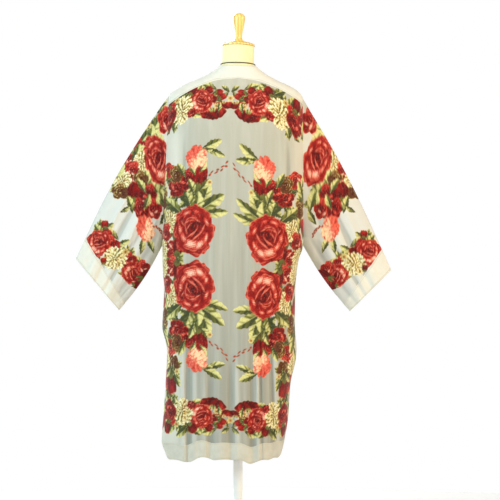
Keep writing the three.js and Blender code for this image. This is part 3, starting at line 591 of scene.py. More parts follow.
def sleeve_cloth(side, alongs, angles):
    """Places of a sleeve's rings, the share along it of each and the depth of its creases"""
    sleeve = SLEEVES[side]
    along, angle = np.meshgrid(alongs, angles, indexing="ij")
    rows = []
    for start, end, bow, turn in (
            ((sleeve.top, SHOULDER_POINT), sleeve.cuff_top, sleeve.bow_top, 1),
            ((sleeve.foot, UNDERARM), sleeve.cuff_foot, sleeve.bow_foot, -1)):
        dx, dz = end[0] - start[0], end[1] - start[1]
        length = math.hypot(dx, dz)
        bulge = bow * np.sin(np.pi * along) * turn
        rows.append((mix(start[0], end[0], along) - dz / length * bulge,
                     mix(start[1], end[1], along) + dx / length * bulge))
    (top_x, top_z), (foot_x, foot_z) = rows
    place, across = np.cos(angle), np.sin(angle)
    share = (1 + place) / 2
    fold = sum(depth * swell(place - mix(start, end, along), width)
               for start, end, width, depth in SLEEVE_FOLDS)
    depth = mix(ARMHOLE_DEPTH, CUFF_DEPTH, smooth(along)) + fold * smooth(along * 4) * np.abs(across)
    fine = sum(deep * swell(share - mix(root, mouth, along), width) * swell(along - most, SLEEVE_REACH)
               for root, mouth, most, width, deep in SLEEVE_CREASES)
    chance = np.random.default_rng(SLEEVE_SEED + sleeve.sign)
    for root, mouth, most, width, deep in chance.uniform(
            *zip(*SLEEVE_RIPPLE_RANGES), (SLEEVE_RIPPLES, len(SLEEVE_RIPPLE_RANGES))):
        fine = fine + deep * np.exp(-(((share - mix(root, mouth, along)) / width) ** 2)
                                    - ((along - most) / SLEEVE_RIPPLE_REACH) ** 2)
    depth_share = settings("kimono_cloth").crease_depth
    fine = SLEEVE_GAIN * fine * depth_share * smooth(along * 6) * np.abs(across)
    x = sleeve.sign * mix(foot_x, top_x, share)
    y = -np.sign(across) * (depth * np.abs(across) ** LENS + fine)
    z = mix(foot_z, top_z, share)
    # Depth of the creases, which the chiffon paints as light on the ridges and shade in the troughs
    crease = fine + FOLD_SHADE * (fold - SLEEVE_FOLD_MIDDLE) * smooth(along * 4)
    return np.stack([x, y, lean(x, y, z)], -1), along, crease


# ---- mesh helpers ------------------------------------------------------------------------

def finish_piece(name, bm, node, look):
    """Turns a bmesh into a piece that rides on the frame and stands for a node of the part.

    look names both its material and its slot.
    """
    mesh = bpy.data.meshes.new(name)
    bm.to_mesh(mesh)
    bm.free()
    mesh.shade_smooth()
    mesh.materials.append(finish_named(look))
    piece = bpy.data.objects.new(name, mesh)
    bpy.context.collection.objects.link(piece)
    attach(piece, "root")
    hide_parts(node)
    return piece


def sheet_bmesh(places, size, closed=False):
    """A woven grid whose points are moved to their places, rows upwards, outside to the right hand.

    size is the flat width and length in metres that its UV map spans.
    """
    rows, columns = places.shape[:2]
    bm = bmesh.new()
    uv = bm.loops.layers.uv.new("cloth")
    bmesh.ops.create_grid(bm, x_segments=columns - 1, y_segments=rows - 1, size=1, calc_uvs=True)
    station = bm.verts.layers.int.new("station")
    for index, (vert, place) in enumerate(zip(bm.verts, places.reshape(-1, 3).tolist())):
        vert.co = place
        vert[station] = index
    for face in bm.faces:
        for loop in face.loops:
            u, v = loop[uv].uv
            loop[uv].uv = (u * size[0], v * size[1])
    if closed:
        bmesh.ops.remove_doubles(bm, verts=bm.verts, dist=1e-6)
    return bm


def give_point_data(piece, values):
    """Stores each named field at the piece's points, read at the stations of its grid"""
    mesh = piece.data
    stations = np.empty(len(mesh.vertices), np.int32)
    mesh.attributes["station"].data.foreach_get("value", stations)
    mesh.attributes.remove(mesh.attributes["station"])
    for name, field in values.items():
        field = field[stations]
        if field.ndim == 2:
            layer = mesh.attributes.new(name, "FLOAT_COLOR", "POINT")
            opaque = np.column_stack([field, np.ones(len(field))])
            layer.data.foreach_set("color", opaque.astype(np.float32).ravel())
        else:
            layer = mesh.attributes.new(name, "FLOAT", "POINT")
            layer.data.foreach_set("value", field.astype(np.float32))


def turned_bmesh(outline, steps):
    """A turned solid: an outline of (radius, height) in millimetres spun round Z"""
    bm = bmesh.new()
    verts = [bm.verts.new((radius * MM, 0, height * MM)) for radius, height in outline]
    edges = [bm.edges.new(pair) for pair in zip(verts, verts[1:])]
    bmesh.ops.spin(bm, geom=verts + edges, cent=(0, 0, 0), axis=(0, 0, 1), angle=2 * math.pi,
                   steps=steps, use_merge=True)
    bmesh.ops.remove_doubles(bm, verts=bm.verts, dist=1e-6)
    bmesh.ops.recalc_face_normals(bm, faces=bm.faces)
    return bm


def rounded(corners, radius, steps=4):
    """An outline with its corners rounded off, in millimetres"""
    outline = [corners[0]]
    for before, corner, after in zip(corners, corners[1:], corners[2:]):
        corner = Vector(corner)
        back, on = Vector(before) - corner, Vector(after) - corner
        cut = min(radius, back.length * 0.45, on.length * 0.45)
        start, end = corner + back.normalized() * cut, corner + on.normalized() * cut
        for step in range(steps + 1):
            t = step / steps
            outline.append(tuple(start * (1 - t) ** 2 + corner * 2 * t * (1 - t) + end * t * t))
    outline.append(corners[-1])
    return outline


def neck_frame():
    """The tilted frame of the neck, its foot on the form's upper face"""
    forward, side = (math.radians(degrees) for degrees in LEAN_DEGREES)
    return (Matrix.Translation((0, 0, NECK_BASE * MM)) @ Matrix.Rotation(-forward, 4, "X")
            @ Matrix.Rotation(side, 4, "Y"))


# ---- shader helpers ----------------------------------------------------------------------

class Socket:
    """A value in a shader, so that sums on it add Math nodes"""

    def __init__(self, shader, output):
        self.shader, self.output = shader, output

    def _math(self, operation, *values):
        return self.shader.node("ShaderNodeMath", {"operation": operation}, dict(enumerate(values)))

    def __add__(self, other):
        return self._math("ADD", self, other)

    def __sub__(self, other):
        return self._math("SUBTRACT", self, other)

    def __rsub__(self, other):
        return self._math("SUBTRACT", other, self)

    def __mul__(self, other):
        return self._math("MULTIPLY", self, other)

    def __truediv__(self, other):
        return self._math("DIVIDE", self, other)

    __radd__, __rmul__ = __add__, __mul__

    def sine(self):
        return self._math("SINE", self)

    def away(self):
        return self._math("ABSOLUTE", self)

    def fraction(self):
        return self._math("FRACT", self)

class Finish:
    """One material under construction"""

    def __init__(self, name):
        self.material = bpy.data.materials.new(f"{name}_finish")
        self.material.use_nodes = True
        self.tree = self.material.node_tree
        self.shader = self.tree.nodes["Principled BSDF"]

    def node(self, kind, options=None, inputs=None, output=0):
        """Adds a node: its options first, then the values or links of its sockets"""
        made = self.tree.nodes.new(kind)
        for name, value in (options or {}).items():
            if name == "stops":
                ramp = made.color_ramp
                while len(ramp.elements) < len(value):
                    ramp.elements.new(0.5)
                for element, (place, colour) in zip(ramp.elements, value):
                    element.position, element.color = place, (*colour, 1)
            else:
                setattr(made, name, value)
        for name, value in (inputs or {}).items():
            self.feed(made.inputs[name], value)
        return Socket(self, made.outputs[output])

    def feed(self, socket, value):
        if isinstance(value, Socket):
            self.tree.links.new(value.output, socket)
        elif hasattr(value, "__len__") and socket.type == "RGBA":
            socket.default_value = (*tuple(value)[:3], 1)
        else:
            socket.default_value = value

    def set(self, **inputs):
        for name, value in inputs.items():
            self.feed(self.shader.inputs[name.replace("_", " ")], value)
        return self

    def place(self):
        return self.node("ShaderNodeTexCoord", output="Object")

    def map(self):
        return self.node("ShaderNodeUVMap", {"uv_map": "cloth"})

    def parts(self, vector):
        made = self.node("ShaderNodeSeparateXYZ", inputs={"Vector": vector}).output.node
        return [Socket(self, output) for output in made.outputs]

    def stretched(self, vector, scale):
        return self.node("ShaderNodeMapping", inputs={"Vector": vector, "Scale": scale})

    def noise(self, vector, scale, detail=3.0, roughness=0.55):
        return self.node("ShaderNodeTexNoise", inputs={
            "Vector": vector, "Scale": scale, "Detail": detail, "Roughness": roughness})

    def field(self, name, output="Fac"):
        return self.node("ShaderNodeAttribute", {"attribute_name": name}, output=output)

    def spread(self, value, low, high, to_low=0.0, to_high=1.0):
        return self.node("ShaderNodeMapRange", {"interpolation_type": "SMOOTHSTEP"}, {
            "Value": value, "From Min": low, "From Max": high, "To Min": to_low, "To Max": to_high})

    def blend(self, amount, first, second, how="MIX"):
        options = {"data_type": "RGBA", "blend_type": how, "clamp_factor": True}
        return self.node("ShaderNodeMix", options, {0: amount, 6: first, 7: second}, output=2)

    def tinted(self, colour, *tints):
        """Blends dyes over a colour in turn, each as strongly as its own field says.

        A tint is a field, its low and high value, the strength at each and the dye.
        """
        for *share, tint in tints:
            colour = self.blend(self.spread(*share), colour, dye(*tint))
        return colour

    def bump(self, height, distance, strength=1.0):
        self.feed(self.shader.inputs["Normal"], self.node("ShaderNodeBump", inputs={
            "Height": height, "Distance": distance, "Strength": strength}))
        return self


def weave(u, v, pitch):
    """Plain weave: threads over and under each other, from 0 in the gaps to about 1 on a thread"""
    turns = 2 * math.pi / pitch
    warp, weft = (u * turns).sine(), (v * turns).sine()
    return warp * weft * 0.5 + 0.5


# ---- the printed flowers and leaves ------------------------------------------------------

PRINT_BLEND = 0.16              # softness of one petal's edge on another, as a share of its size
LARGEST_BLEND = 12              # and the size from which it grows no softer

# Rings of a rose's petals from the outside in: distance from the heart, half length and half
# width of a petal as shares of the rose, how many, first angle
ROSE_RINGS = [
    (0.56, 0.40, 0.44, 6, 12), (0.48, 0.38, 0.44, 6, 44), (0.38, 0.35, 0.40, 5, 5),
    (0.28, 0.29, 0.30, 5, 50), (0.18, 0.22, 0.23, 4, 20), (0.09, 0.15, 0.15, 3, 70),
    (0.02, 0.08, 0.08, 2, 10),
]
ROSE_FRILL = [(0.70, 0.32, 0.34, 8, 0), (0.66, 0.30, 0.26, 9, 24)]
SMALL_ROSE_RINGS = [
    (0.56, 0.46, 0.46, 5, 20), (0.36, 0.38, 0.38, 5, 50), (0.18, 0.27, 0.27, 4, 0),
    (0.05, 0.14, 0.13, 3, 40),
]
CORAL_RINGS = [
    (0.66, 0.32, 0.19, 14, 0), (0.52, 0.36, 0.18, 12, 14), (0.36, 0.34, 0.16, 10, 5),
    (0.22, 0.28, 0.13, 7, 20), (0.08, 0.18, 0.10, 4, 40),
]
# Rings of a chrysanthemum's narrow petals: distance, half length, half width, how many
MUM_RINGS = [
    (0.84, 0.15, 0.110, 20), (0.72, 0.15, 0.105, 19), (0.59, 0.14, 0.098, 16),
    (0.46, 0.13, 0.090, 13), (0.33, 0.12, 0.082, 10), (0.20, 0.10, 0.070, 7),
    (0.08, 0.08, 0.060, 4),
]
# A large rose's turned petals and the light streaks across it: centre, half sizes, turn
TURNED_PETALS = [
    ((-0.58, -0.28), (0.24, 0.12), -62), ((0.64, 0.04), (0.22, 0.10), 84),
    ((-0.28, -0.54), (0.26, 0.14), -30), ((0.12, -0.50), (0.32, 0.18), 8),
    ((0.46, -0.28), (0.24, 0.14), 52), ((-0.62, 0.34), (0.20, 0.09), 62),
    ((0.30, 0.68), (0.24, 0.10), -20), ((-0.16, 0.74), (0.20, 0.08), 14),
]
LIGHTEST_PETALS = (2, 3)        # of the turned ones
STREAKS = [
    ((-0.36, -0.06), (0.22, 0.030), -48), ((-0.24, -0.16), (0.22, 0.026), -44),
    ((-0.46, 0.10), (0.18, 0.026), -58), ((0.30, 0.34), (0.16, 0.022), -30),
    ((0.02, 0.50), (0.18, 0.024), 6), ((-0.12, -0.24), (0.24, 0.030), -38),
    ((0.34, 0.02), (0.18, 0.024), 74), ((-0.20, 0.40), (0.16, 0.022), 28),
    ((0.52, 0.30), (0.14, 0.022), 52), ((-0.06, -0.06), (0.24, 0.024), -46),
    ((0.10, -0.14), (0.22, 0.028), -34), ((0.22, 0.16), (0.18, 0.020), -52),
]
# Petals of a small rose that are turned over: centre, half sizes, turn in radians
SMALL_TURNED_PETALS = [((0.14, -0.40), (0.34, 0.11), 0.3), ((-0.34, -0.22), (0.24, 0.08), -0.9)]
# Petals of a bud: place across, turn, how much lighter; and the leaves of its cup: place, turn
BUD_PETALS = [(-0.38, 104, -0.02), (0.38, 76, 0.06), (0.12, 86, 0.0), (-0.14, 96, 0.12)]
BUD_CUP = [(-0.42, 58), (0.42, 122), (0.0, 90)]
WIDE_PETALS = [(-0.5, 150), (0.5, 30), (-0.26, 116), (0.26, 64), (0.0, 90)]
RED = "bud_dark rose_dark rose_red rose_bright rose_rim"
TURNED = "rose_red rose_bright rose_rim rose_pale"


def ellipse(u, v, centre, half, turn, ripple=0.0, waves=5):
    """How far inside a turned ellipse each point is, and its place along and across it"""
    c, s = math.cos(turn), math.sin(turn)
    along = ((u - centre[0]) * c + (v - centre[1]) * s) / half[0]
    over = ((v - centre[1]) * c - (u - centre[0]) * s) / half[1]
    radius = np.hypot(along, over)
    if ripple:
        radius = radius * (1 + ripple * np.sin(waves * np.arctan2(over, along) + centre[0] * 9))
    return (1 - radius) * min(half), along, over


def edge_shade(inside, width, along, start, span):
    """One close to a petal's edge, setting in over a span along the petal"""
    return np.clip(1 - inside / width, 0, 1) * rise(along, start, span)


def ramp(amount, colours):
    """Colours read evenly along a ramp"""
    colours = np.array(colours)
    place = np.clip(amount, 0, 1) * (len(colours) - 1)
    i = np.minimum(place.astype(int), len(colours) - 2)
    return mix(colours[i], colours[i + 1], (place - i)[:, None])


class Print:
    """The print at each point of one piece: its colour, how far inside an edge it is in
    millimetres, and how high its pile stands.

    A motif is drawn in its own box: where is the points that it can reach, u and v their places
    in the box from -1 to 1, and size the smaller half of the box in millimetres.
    """

    def __init__(self, across, height):
        self.across, self.height = across.ravel(), height.ravel()
        self.colour = np.full((self.across.size, 3), 0.5)
        self.inside = np.full(self.across.size, -40.0)
        self.pile = np.zeros(self.across.size)
        dyes = settings("kimono_print")
        self.dyes = {name: np.array(getattr(dyes, name)) for name in KimonoPrint.__annotations__}

    def fields(self):
        return {"print_colour": self.colour, "print_inside": self.inside, "print_pile": self.pile}

    def tones(self, names):
        return [self.dyes[name] for name in names.split()]

    def draw(self, motif, mirror=(1, 1)):
        """Draws one motif, mirrored about the origin"""
        across = self.across * mirror[0] - motif.across
        height = self.height * mirror[1] - motif.height
        reach = max(motif.wide, motif.tall) * 1.25 + 4
        self.where = np.flatnonzero((np.abs(across) < reach) & (np.abs(height) < reach))
        if len(self.where):
            across, height = across[self.where], height[self.where]
            c, s = math.cos(math.radians(motif.turn)), math.sin(math.radians(motif.turn))
            self.u = (across * c + height * s) / motif.wide
            self.v = (height * c - across * s) / motif.tall
            self.size = min(motif.wide, motif.tall)
            self.variety = math.sin(motif.across * 0.7 + motif.height * 0.31)
            getattr(self, motif.kind)()

    def lay(self, inside, tone, dyes, pile, share, size=None):
        """Lays one petal or leaf over what is there, and lets its colour run on past its edge.

        tone reads its colour along the named dyes, and share is its size as a share of size.
        """
        size = self.size if size is None else size
        inside, colour = inside * size, ramp(tone, self.tones(dyes)) if dyes else tone
        before = self.inside[self.where]
        weight = np.clip(inside / (PRINT_BLEND * min(size * share, LARGEST_BLEND)) + 0.5, 0, 1)
        weight[(before < 0) & (inside > before)] = 1
        self.colour[self.where] = mix(self.colour[self.where], colour, weight[:, None])
        self.pile[self.where] = mix(self.pile[self.where], pile, weight)
        self.inside[self.where] = np.maximum(before, inside)

    def oval(self, centre, half, turn=0.0, ripple=0.0, waves=5):
        return ellipse(self.u, self.v, centre, half, turn, ripple, waves)

    def petals(self, rings, dyes, heart=(0, 0), ripple=0.05, lift=0.0, fade=-0.06, edge=0.52,
               glow=0.10, origin=(0, 0)):
        """Lays rings of petals from the outside in, each darker at its foot.

        The inmost ring lies round the heart. All tones rise by lift, those of the inner rings by
        fade, those at the rims by edge and those on one side of the flower by glow.
        """
        u, v = self.u - origin[0], self.v - origin[1]
        for ring, (out, long, wide, count, first) in enumerate(rings):
            inner = ring / (len(rings) - 1)
            for k in range(count):
                angle = math.radians(first + 9 * math.sin(4 * k + ring)) + 2 * math.pi * k / count
                centre = (heart[0] * inner + out * math.cos(angle),
                          heart[1] * inner + out * math.sin(angle))
                inside, along, over = ellipse(u, v, centre, (long, wide), angle, ripple, 4 + k % 3)
                lit = glow * math.sin(angle + 0.9) + 0.05 * ((k * 7 + ring * 3) % 4 - 1.5)
                streak = 0.09 * np.sin(9 * over + 3 * along + 2 * k) + 0.05 * np.sin(21 * over - k)
                body = 0.66 * np.clip(0.5 + 0.5 * along, 0, 1) ** 1.5
                tone = 0.04 + body + lit + streak + lift + fade * inner
                foot = edge_shade(inside, 0.05, -along, -0.1, 0.6)
                uneven = 0.62 + 0.38 * math.sin(5 * k + ring)
                rim = edge_shade(inside, 0.055, along, 0.1, 0.6) * uneven
                self.lay(inside, tone + edge * rim - 0.30 * foot, dyes,
                         0.5 + 0.3 * np.clip(tone, 0, 1), long)

    def rose(self):
        dyes = RED.replace("rose_red", "rose_red rose_red")
        heart = (0.02, 0.16)
        self.petals(ROSE_FRILL, dyes, ripple=0.10, lift=-0.08, edge=0.85)
        self.petals(ROSE_RINGS[:3], dyes, heart, ripple=0.07, lift=-0.06, glow=-0.14)
        for k, (centre, half, turn) in enumerate(TURNED_PETALS):
            inside, along, over = self.oval(centre, half, math.radians(turn), 0.06, 4)
            tone = (0.20 * (k in LIGHTEST_PETALS)
                    + 0.62 * np.clip(1.15 - np.hypot(along * 0.9, over), 0, 1)
                    + 0.16 * np.sin(9 * along + 14 * over) + 0.10 * np.sin(23 * along - 5 * over))
            self.lay(inside, tone, TURNED + " rose_pale", 0.7, 0.3)
        self.petals(ROSE_RINGS[3:], dyes, (0, 0.05), lift=-0.06, origin=heart)
        for centre, half, turn in STREAKS:
            inside, along, _ = self.oval(centre, half, math.radians(turn))
            self.lay(inside, 0.6 - 0.4 * np.abs(along), "rose_bright rose_rim rose_pale", 0.75, 0.08)

    def small_rose(self):
        self.petals(SMALL_ROSE_RINGS, RED, (0.0, 0.08), lift=0.12 * self.variety)
        for centre, half, turn in SMALL_TURNED_PETALS:
            inside, along, over = self.oval(centre, half, turn + self.variety)
            tone = (0.35 + 0.35 * self.variety + 0.4 * (1 - np.abs(along))
                    + 0.2 * np.sin(9 * along + 3 * over))
            self.lay(inside, tone, TURNED, 0.7, 0.2)

    def coral(self):
        inside, along, over = self.oval((0, -0.03), (0.84, 0.84), 0.0, 0.05, 13)
        streak = 0.3 * np.sin(13 * np.arctan2(over, along) + 4 * np.hypot(over, along))
        self.lay(inside, 0.4 + streak, "rose_red rose_bright coral", 0.5, 1)
        self.petals(CORAL_RINGS, "rose_red rose_bright coral coral coral_pale coral_pale",
                    (0.0, -0.16), lift=0.10, ripple=0.06, fade=0.38, edge=-0.50, glow=-0.24)

    def bud(self):
        """A closed dark red blossom: four broad petals in a green cup"""
        for k, (at, turn, lift) in enumerate(BUD_PETALS):
            inside, along, over = self.oval((at, 0.04), (0.94, 0.62), math.radians(turn), 0.05, 4)
            tone = (0.12 + 0.10 * self.variety + lift + 0.30 * (0.5 + 0.5 * along)
                    + 0.12 * np.sin(6 * over + 5 * at + 2 * along))
            lobe = np.clip(1 - np.hypot(over * 1.3 + 0.3, along - 0.35) / 0.5, 0, 1) * (k == 3)
            rim = edge_shade(inside, 0.05, along, -0.2, 0.7)
            self.lay(inside, tone + 0.3 * rim + 0.35 * lobe, RED, 0.6, 0.6)
        for at, turn in BUD_CUP:
            inside, along, over = self.oval((at, -0.82), (0.44, 0.17), math.radians(turn))
            self.lay(inside, 0.5 + 0.4 * along + 0.3 * over, "leaf_dark leaf_olive", 0.5, 0.2)

    def wide_bloom(self):
        """A broad dark red blossom seen from the side"""
        for k, (at, turn) in enumerate(WIDE_PETALS):
            inside, along, over = self.oval((at, -0.1), (0.62, 0.46), math.radians(turn), 0.08, 5)
            tone = (0.10 + 0.34 * (0.5 + 0.5 * along) + 0.16 * np.sin(4 * over + 3 * along + 2 * k)
                    + 0.05 * (k % 3))
            rim = edge_shade(inside, 0.05, along, -0.1, 0.5)
            self.lay(inside, tone + 0.35 * rim, RED, 0.6, 0.5)
        for at in (-0.2, 0.02, 0.2):
            inside, along, _ = self.oval((at, 0.30), (0.26, 0.07), math.radians(90 - at * 90))
            self.lay(inside, 0.5 + 0.5 * along, "leaf_olive leaf_light", 0.5, 0.1)

    def brown_bloom(self):
        self.petals(SMALL_ROSE_RINGS, "bud_dark mum_gap mum_gap mum_gold mum_light", lift=-0.06)

    def mum(self):
        """A chrysanthemum: many narrow petals over a dark ground"""
        inside, along, _ = self.oval((0, 0), (0.86, 0.86), 0.0, 0.03, 9)
        self.lay(inside, 0.5 + 0.4 * np.sin(7 * along), "mum_gap leaf_olive", 0.3, 1)
        for ring, (out, long, wide, count) in enumerate(MUM_RINGS):
            for k in range(count):
                angle = 2 * math.pi * (k + 0.5 * (ring % 2)) / count + 0.12 * math.sin(5 * k)
                centre = (out * math.cos(angle), out * math.sin(angle) - 0.02 * ring)
                bend = 0.35 * math.sin(3 * k + ring)
                inside, along, over = self.oval(centre, (long, wide), angle + bend)
                tone = (0.43 + 0.52 * along + 0.30 * (1 - np.abs(over))
                        + 0.17 * ((k * 5 + ring) % 3 - 0.7))
                tone = tone - 0.9 * np.clip(1 - inside / 0.022, 0, 1) * (over < 0.3)
                self.lay(inside, tone, "mum_gap mum_gold mum_light mum_cream", 0.75, 0.10)

    def daisy(self):
        for k in range(6):
            angle = 2 * math.pi * k / 6
            centre = (0.5 * math.cos(angle), 0.5 * math.sin(angle))
            inside, along, _ = self.oval(centre, (0.5, 0.3), angle)
            self.lay(inside, 0.5 + 0.5 * along, "mum_gold mum_light", 0.6, 0.4)
        inside, along, _ = self.oval((0, 0), (0.3, 0.3))
        self.lay(inside, 0.5 + 0.5 * along, "rose_red mum_gold", 0.7, 0.3)

    def leaf(self):
        self.leaf_at(self.u, self.v, self.size, (self.size * 0.37) % 0.5)

    def leaf_at(self, u, v, size, tone):
        """A pointed, notched leaf, dark on one side of its vein and light on the other"""
        half = np.maximum(0, 1 - np.abs(u)) ** 0.62 * (1 + 0.35 * u) * 1.12
        half = half * (1 + 0.12 * np.sin(17 * u) * (np.abs(u) < 0.85))
        over = v - 0.22 * (1 - u * u)
        inside = np.minimum(half - np.abs(over), (1 - np.abs(u)) * 3)
        vein = 0.16 * np.sin(11 * u - 5 * np.abs(over)) + 0.08 * np.sin(23 * u - 7 * np.abs(over))
        light = ramp(0.26 + tone + 0.5 * u + vein,
                     self.tones("leaf_dark leaf_olive leaf_light leaf_light"))
        dark = ramp(0.20 + 0.5 * tone + 0.3 * u + vein,
                    self.tones("leaf_dark leaf_dark leaf_olive leaf_light"))
        colour = mix(dark, light, smooth(over / 0.3 + 0.5)[:, None])
        middle = 0.6 * (1 - smooth(np.abs(over) / 0.09)) * (u < 0.7)
        self.lay(inside, mix(colour, self.dyes["leaf_light"], middle[:, None]), None, 0.35, 1, size)

    def foliage(self):
        """A fan of dark leaves that fills the ground behind the flowers"""
        for k in range(9):
            turn = math.radians(-118 + 29.5 * k + 8 * math.sin(3 * k))
            reach = 0.86 + 0.14 * math.sin(5 * k + 1)
            c, s = math.cos(turn), math.sin(turn)
            along, over = self.u * c + self.v * s, self.v * c - self.u * s
            self.leaf_at((along - 0.5 * reach) / (0.5 * reach), over / (0.19 + 0.03 * (k % 2)),
                         self.size * 0.19, (0.02, 0.30, 0.08, 0.45)[(k * 3) % 4])

    def sprig(self):
        """A thin stem with a row of small red berries, their sizes in millimetres"""
        for k in range(9):
            t = k / 8
            across, up = -0.9 + 1.8 * t, 0.7 * math.sin(2.4 * t) - 0.3 + (0.16 if k % 2 else -0.16)
            inside, along, _ = ellipse(self.u * self.size, self.v * self.size,
                                       (across * self.size, up * self.size), (3.4, 2.2), 0.6 + k)
            self.lay(inside, 0.4 + 0.4 * along, "rose_dark rose_bright", 0.5, 8, 1)


def body_print(across, height):
    """The print of the back and the fronts, in four mirrored quarters"""
    from_cross = across - CROSS_ACROSS
    right = rise(from_cross, *RIGHT_HALF)
    arch = ARCH * rise(np.abs(from_cross), *ARCH_ACROSS) * rise(height, *ARCH_UP)
    tuck = TUCK * rise(from_cross, *TUCK_ACROSS) * fall(height, *TUCK_DOWN)
    cloth = Print(from_cross + tuck, height - CROSS_HEIGHT + DROP(height) * right + arch)
    for motif in map(Motif._make, QUARTER):
        bare = motif.across > SIDE_COLUMN and UPPER_GAP[0] <= motif.height < UPPER_GAP[1]
        for mirror in ((-1, 1), (1, 1), (-1, -1), (1, -1)):
            if (motif.across or mirror[0] > 0) and not (bare and mirror[1] > 0):
                cloth.draw(motif, mirror)
    return cloth


def sleeve_print(side, places):
    """The print of a sleeve, the same on both faces"""
    sleeve = SLEEVES[side]
    cloth = Print(np.abs(places[..., 0]), places[..., 2])
    for motif in map(Motif._make, SLEEVE_MOTIFS):
        cloth.draw(motif)
    (top_x, top_z), (foot_x, foot_z) = sleeve.cuff_top, sleeve.cuff_foot
    width = math.hypot(top_x - foot_x, top_z - foot_z)
    inwards = ((foot_z - top_z) / width, (top_x - foot_x) / width)
    slope = math.degrees(math.atan2(top_z - foot_z, top_x - foot_x))
    middle_x, middle_z = (top_x + foot_x) / 2, (top_z + foot_z) / 2
    lean_in = ((sleeve.top + sleeve.foot) / 2 - middle_x, (SHOULDER_POINT + UNDERARM) / 2 - middle_z)
    ahead = lean_in[0] * inwards[0] + lean_in[1] * inwards[1]
    for kind, inset, up, wide, tall, turn in CUFF_GARLAND:
        inset = inset + GARLAND_IN + (GARLAND_MIDDLE - up) * GARLAND_SLANT
        up = GARLAND_STRETCH * up - GARLAND_SHIFT
        x = mix(foot_x, top_x, up) + lean_in[0] * inset / ahead
        z = mix(foot_z, top_z, up) + lean_in[1] * inset / ahead
        cloth.draw(Motif(kind, x, z, wide, tall, turn + slope - GARLAND_TURN))
    return cloth


# ---- materials ---------------------------------------------------------------------------

def chiffon_finish():
    """Sheer crinkled chiffon with a denser print that has a short pile"""
    cloth = settings("kimono_cloth")
    f = Finish("printed_chiffon")
    place, uv = f.place(), f.map()
    x, _, z = f.parts(place)
    u, v, _ = f.parts(uv)
    threads = weave(u, v, cloth.thread)
    streaks = f.noise(f.stretched(place, (55, 55, 2.2)), 1.0, 4)
    crinkle = f.noise(f.stretched(uv, (420, 130, 1)), 1.0, 4, 0.6)
    mottle = f.noise(place, 260, 3)
    wisps = f.noise(place, 620, 2)
    inside = f.field("print_inside") + (wisps - 0.5) * 1.3
    printed = f.spread(inside, -0.3, 0.35)
    outline = f.spread(inside, 0.2, 1.8, 1.0, 0.0) * printed
    # Painted shade: the ground darker towards the hem, as light falls off downwards
    ground = f.blend(f.spread(z, 0.25, 1.40), cloth.ground_low, cloth.ground)
    # Painted light: the ground lighter from 0.20 m out from the axis, on the sides and sleeves, where the
    # white surroundings would show through the sheer cloth
    ground = f.tinted(ground, (x.away(), 0.20, 0.32, 0.0, 0.80, (216, 214, 205)))
    # White surroundings shine through beside the form, between its shoulders and the seams
    lit_through = (f.spread(x.away(), 0.140, 0.195) * f.spread(z, 1.20, 1.29, 0.70, 0.0)
                   * f.spread(x.away(), 0.23, 0.25, 1.0, 0.0))
    ground = f.blend(lit_through, ground, dye(218, 212, 194))
    crease = f.field("crease")
    # Painted light and shade: ridges of the creases lighter and their troughs darker; the streaks and
    # threads are the cloth's own tone
    ground = f.tinted(ground, (streaks, 0.35, 0.75, 0.0, 0.30, (206, 202, 186)),
                      (crease, 0.2, 3.2, 0.0, 0.42, (214, 212, 200)),
                      (crease, -3.0, -0.2, 0.45, 0.0, (126, 126, 114)),
                      (threads, 0.0, 1.0, 0.10, 0.0, (150, 146, 130)))
    ground = f.blend(f.field("seam_inside") * 0.4, ground, dye(206, 202, 184))
    petals = f.blend(f.spread(mottle, 0.35, 0.7, 0.0, 0.22), f.field("print_colour", "Color"),
                     dye(60, 20, 10), "MULTIPLY")
    petals = f.tinted(petals, (mottle, 0.52, 0.8, 0.0, 0.10, (240, 200, 170)))
    petals = f.blend(outline * 0.22, petals, dye(236, 200, 150))
    f.set(Base_Color=f.blend(printed, ground, petals),
          Roughness=f.spread(printed, 0, 1, 0.62, 0.88) + (crinkle - 0.5) * 0.12,
          Sheen_Weight=0.12, Sheen_Roughness=0.45, Specular_IOR_Level=0.25)
    height = (crinkle * (1 - printed * 0.55) * 0.8 + threads * 0.16
              + printed * 0.35 + f.field("print_pile") * printed * 0.5 + wisps * printed * 0.25)
    return f.bump(height, 0.0007, 0.55).material


def border_finish():
    """Opaque woven border with a stitch line along each edge"""
    cloth = settings("kimono_cloth")
    f = Finish("woven_border")
    place, uv = f.place(), f.map()
    u, v, _ = f.parts(uv)
    threads = weave(u, v, cloth.thread * 0.8)
    slubs = f.noise(f.stretched(uv, (30, 900, 1)), 1.0, 3)
    mottle = f.noise(place, 45, 4)
    from_edge, run = f.field("edge_distance"), f.field("edge_run")
    in_line = f.spread((from_edge - cloth.stitch_inset).away(), 0.0003, 0.0006, 1.0, 0.0)
    stitch = in_line * f.spread((run / cloth.stitch).fraction(), 0.60, 0.70, 1.0, 0.0)
    pucker = f.spread((from_edge - cloth.stitch_inset).away(), 0.0, 0.0035, 1.0, 0.0)
    _, _, z = f.parts(place)
    # Painted shade: the border darker towards the hem, as light falls off downwards
    colour = f.blend(f.spread(z, 0.28, 0.75), cloth.border_low, cloth.border)
    colour = f.tinted(colour, (mottle, 0.3, 0.75, 0.0, 0.16, (244, 240, 228)),
                      (slubs, 0.45, 0.8, 0.0, 0.16, (196, 188, 160)),
                      (threads, 0, 1, 0.14, 0.0, (176, 168, 140)))
    # Painted shade: darker in the puckered groove along each stitch line
    colour = f.blend(pucker * 0.16, colour, dye(190, 182, 152))
    colour = f.blend(stitch, colour, cloth.thread_colour)
    f.set(Base_Color=colour, Roughness=f.spread(mottle, 0.2, 0.8, 0.68, 0.82),
          Sheen_Weight=0.08, Sheen_Roughness=0.4, Specular_IOR_Level=0.3)
    height = (threads * 0.35 + slubs * 0.3 + stitch * 0.9
              - pucker * (f.noise(f.stretched(uv, (160, 160, 1)), 1.0, 2) * 0.9 + 0.5))
    return f.bump(height, 0.0006, 0.6).material


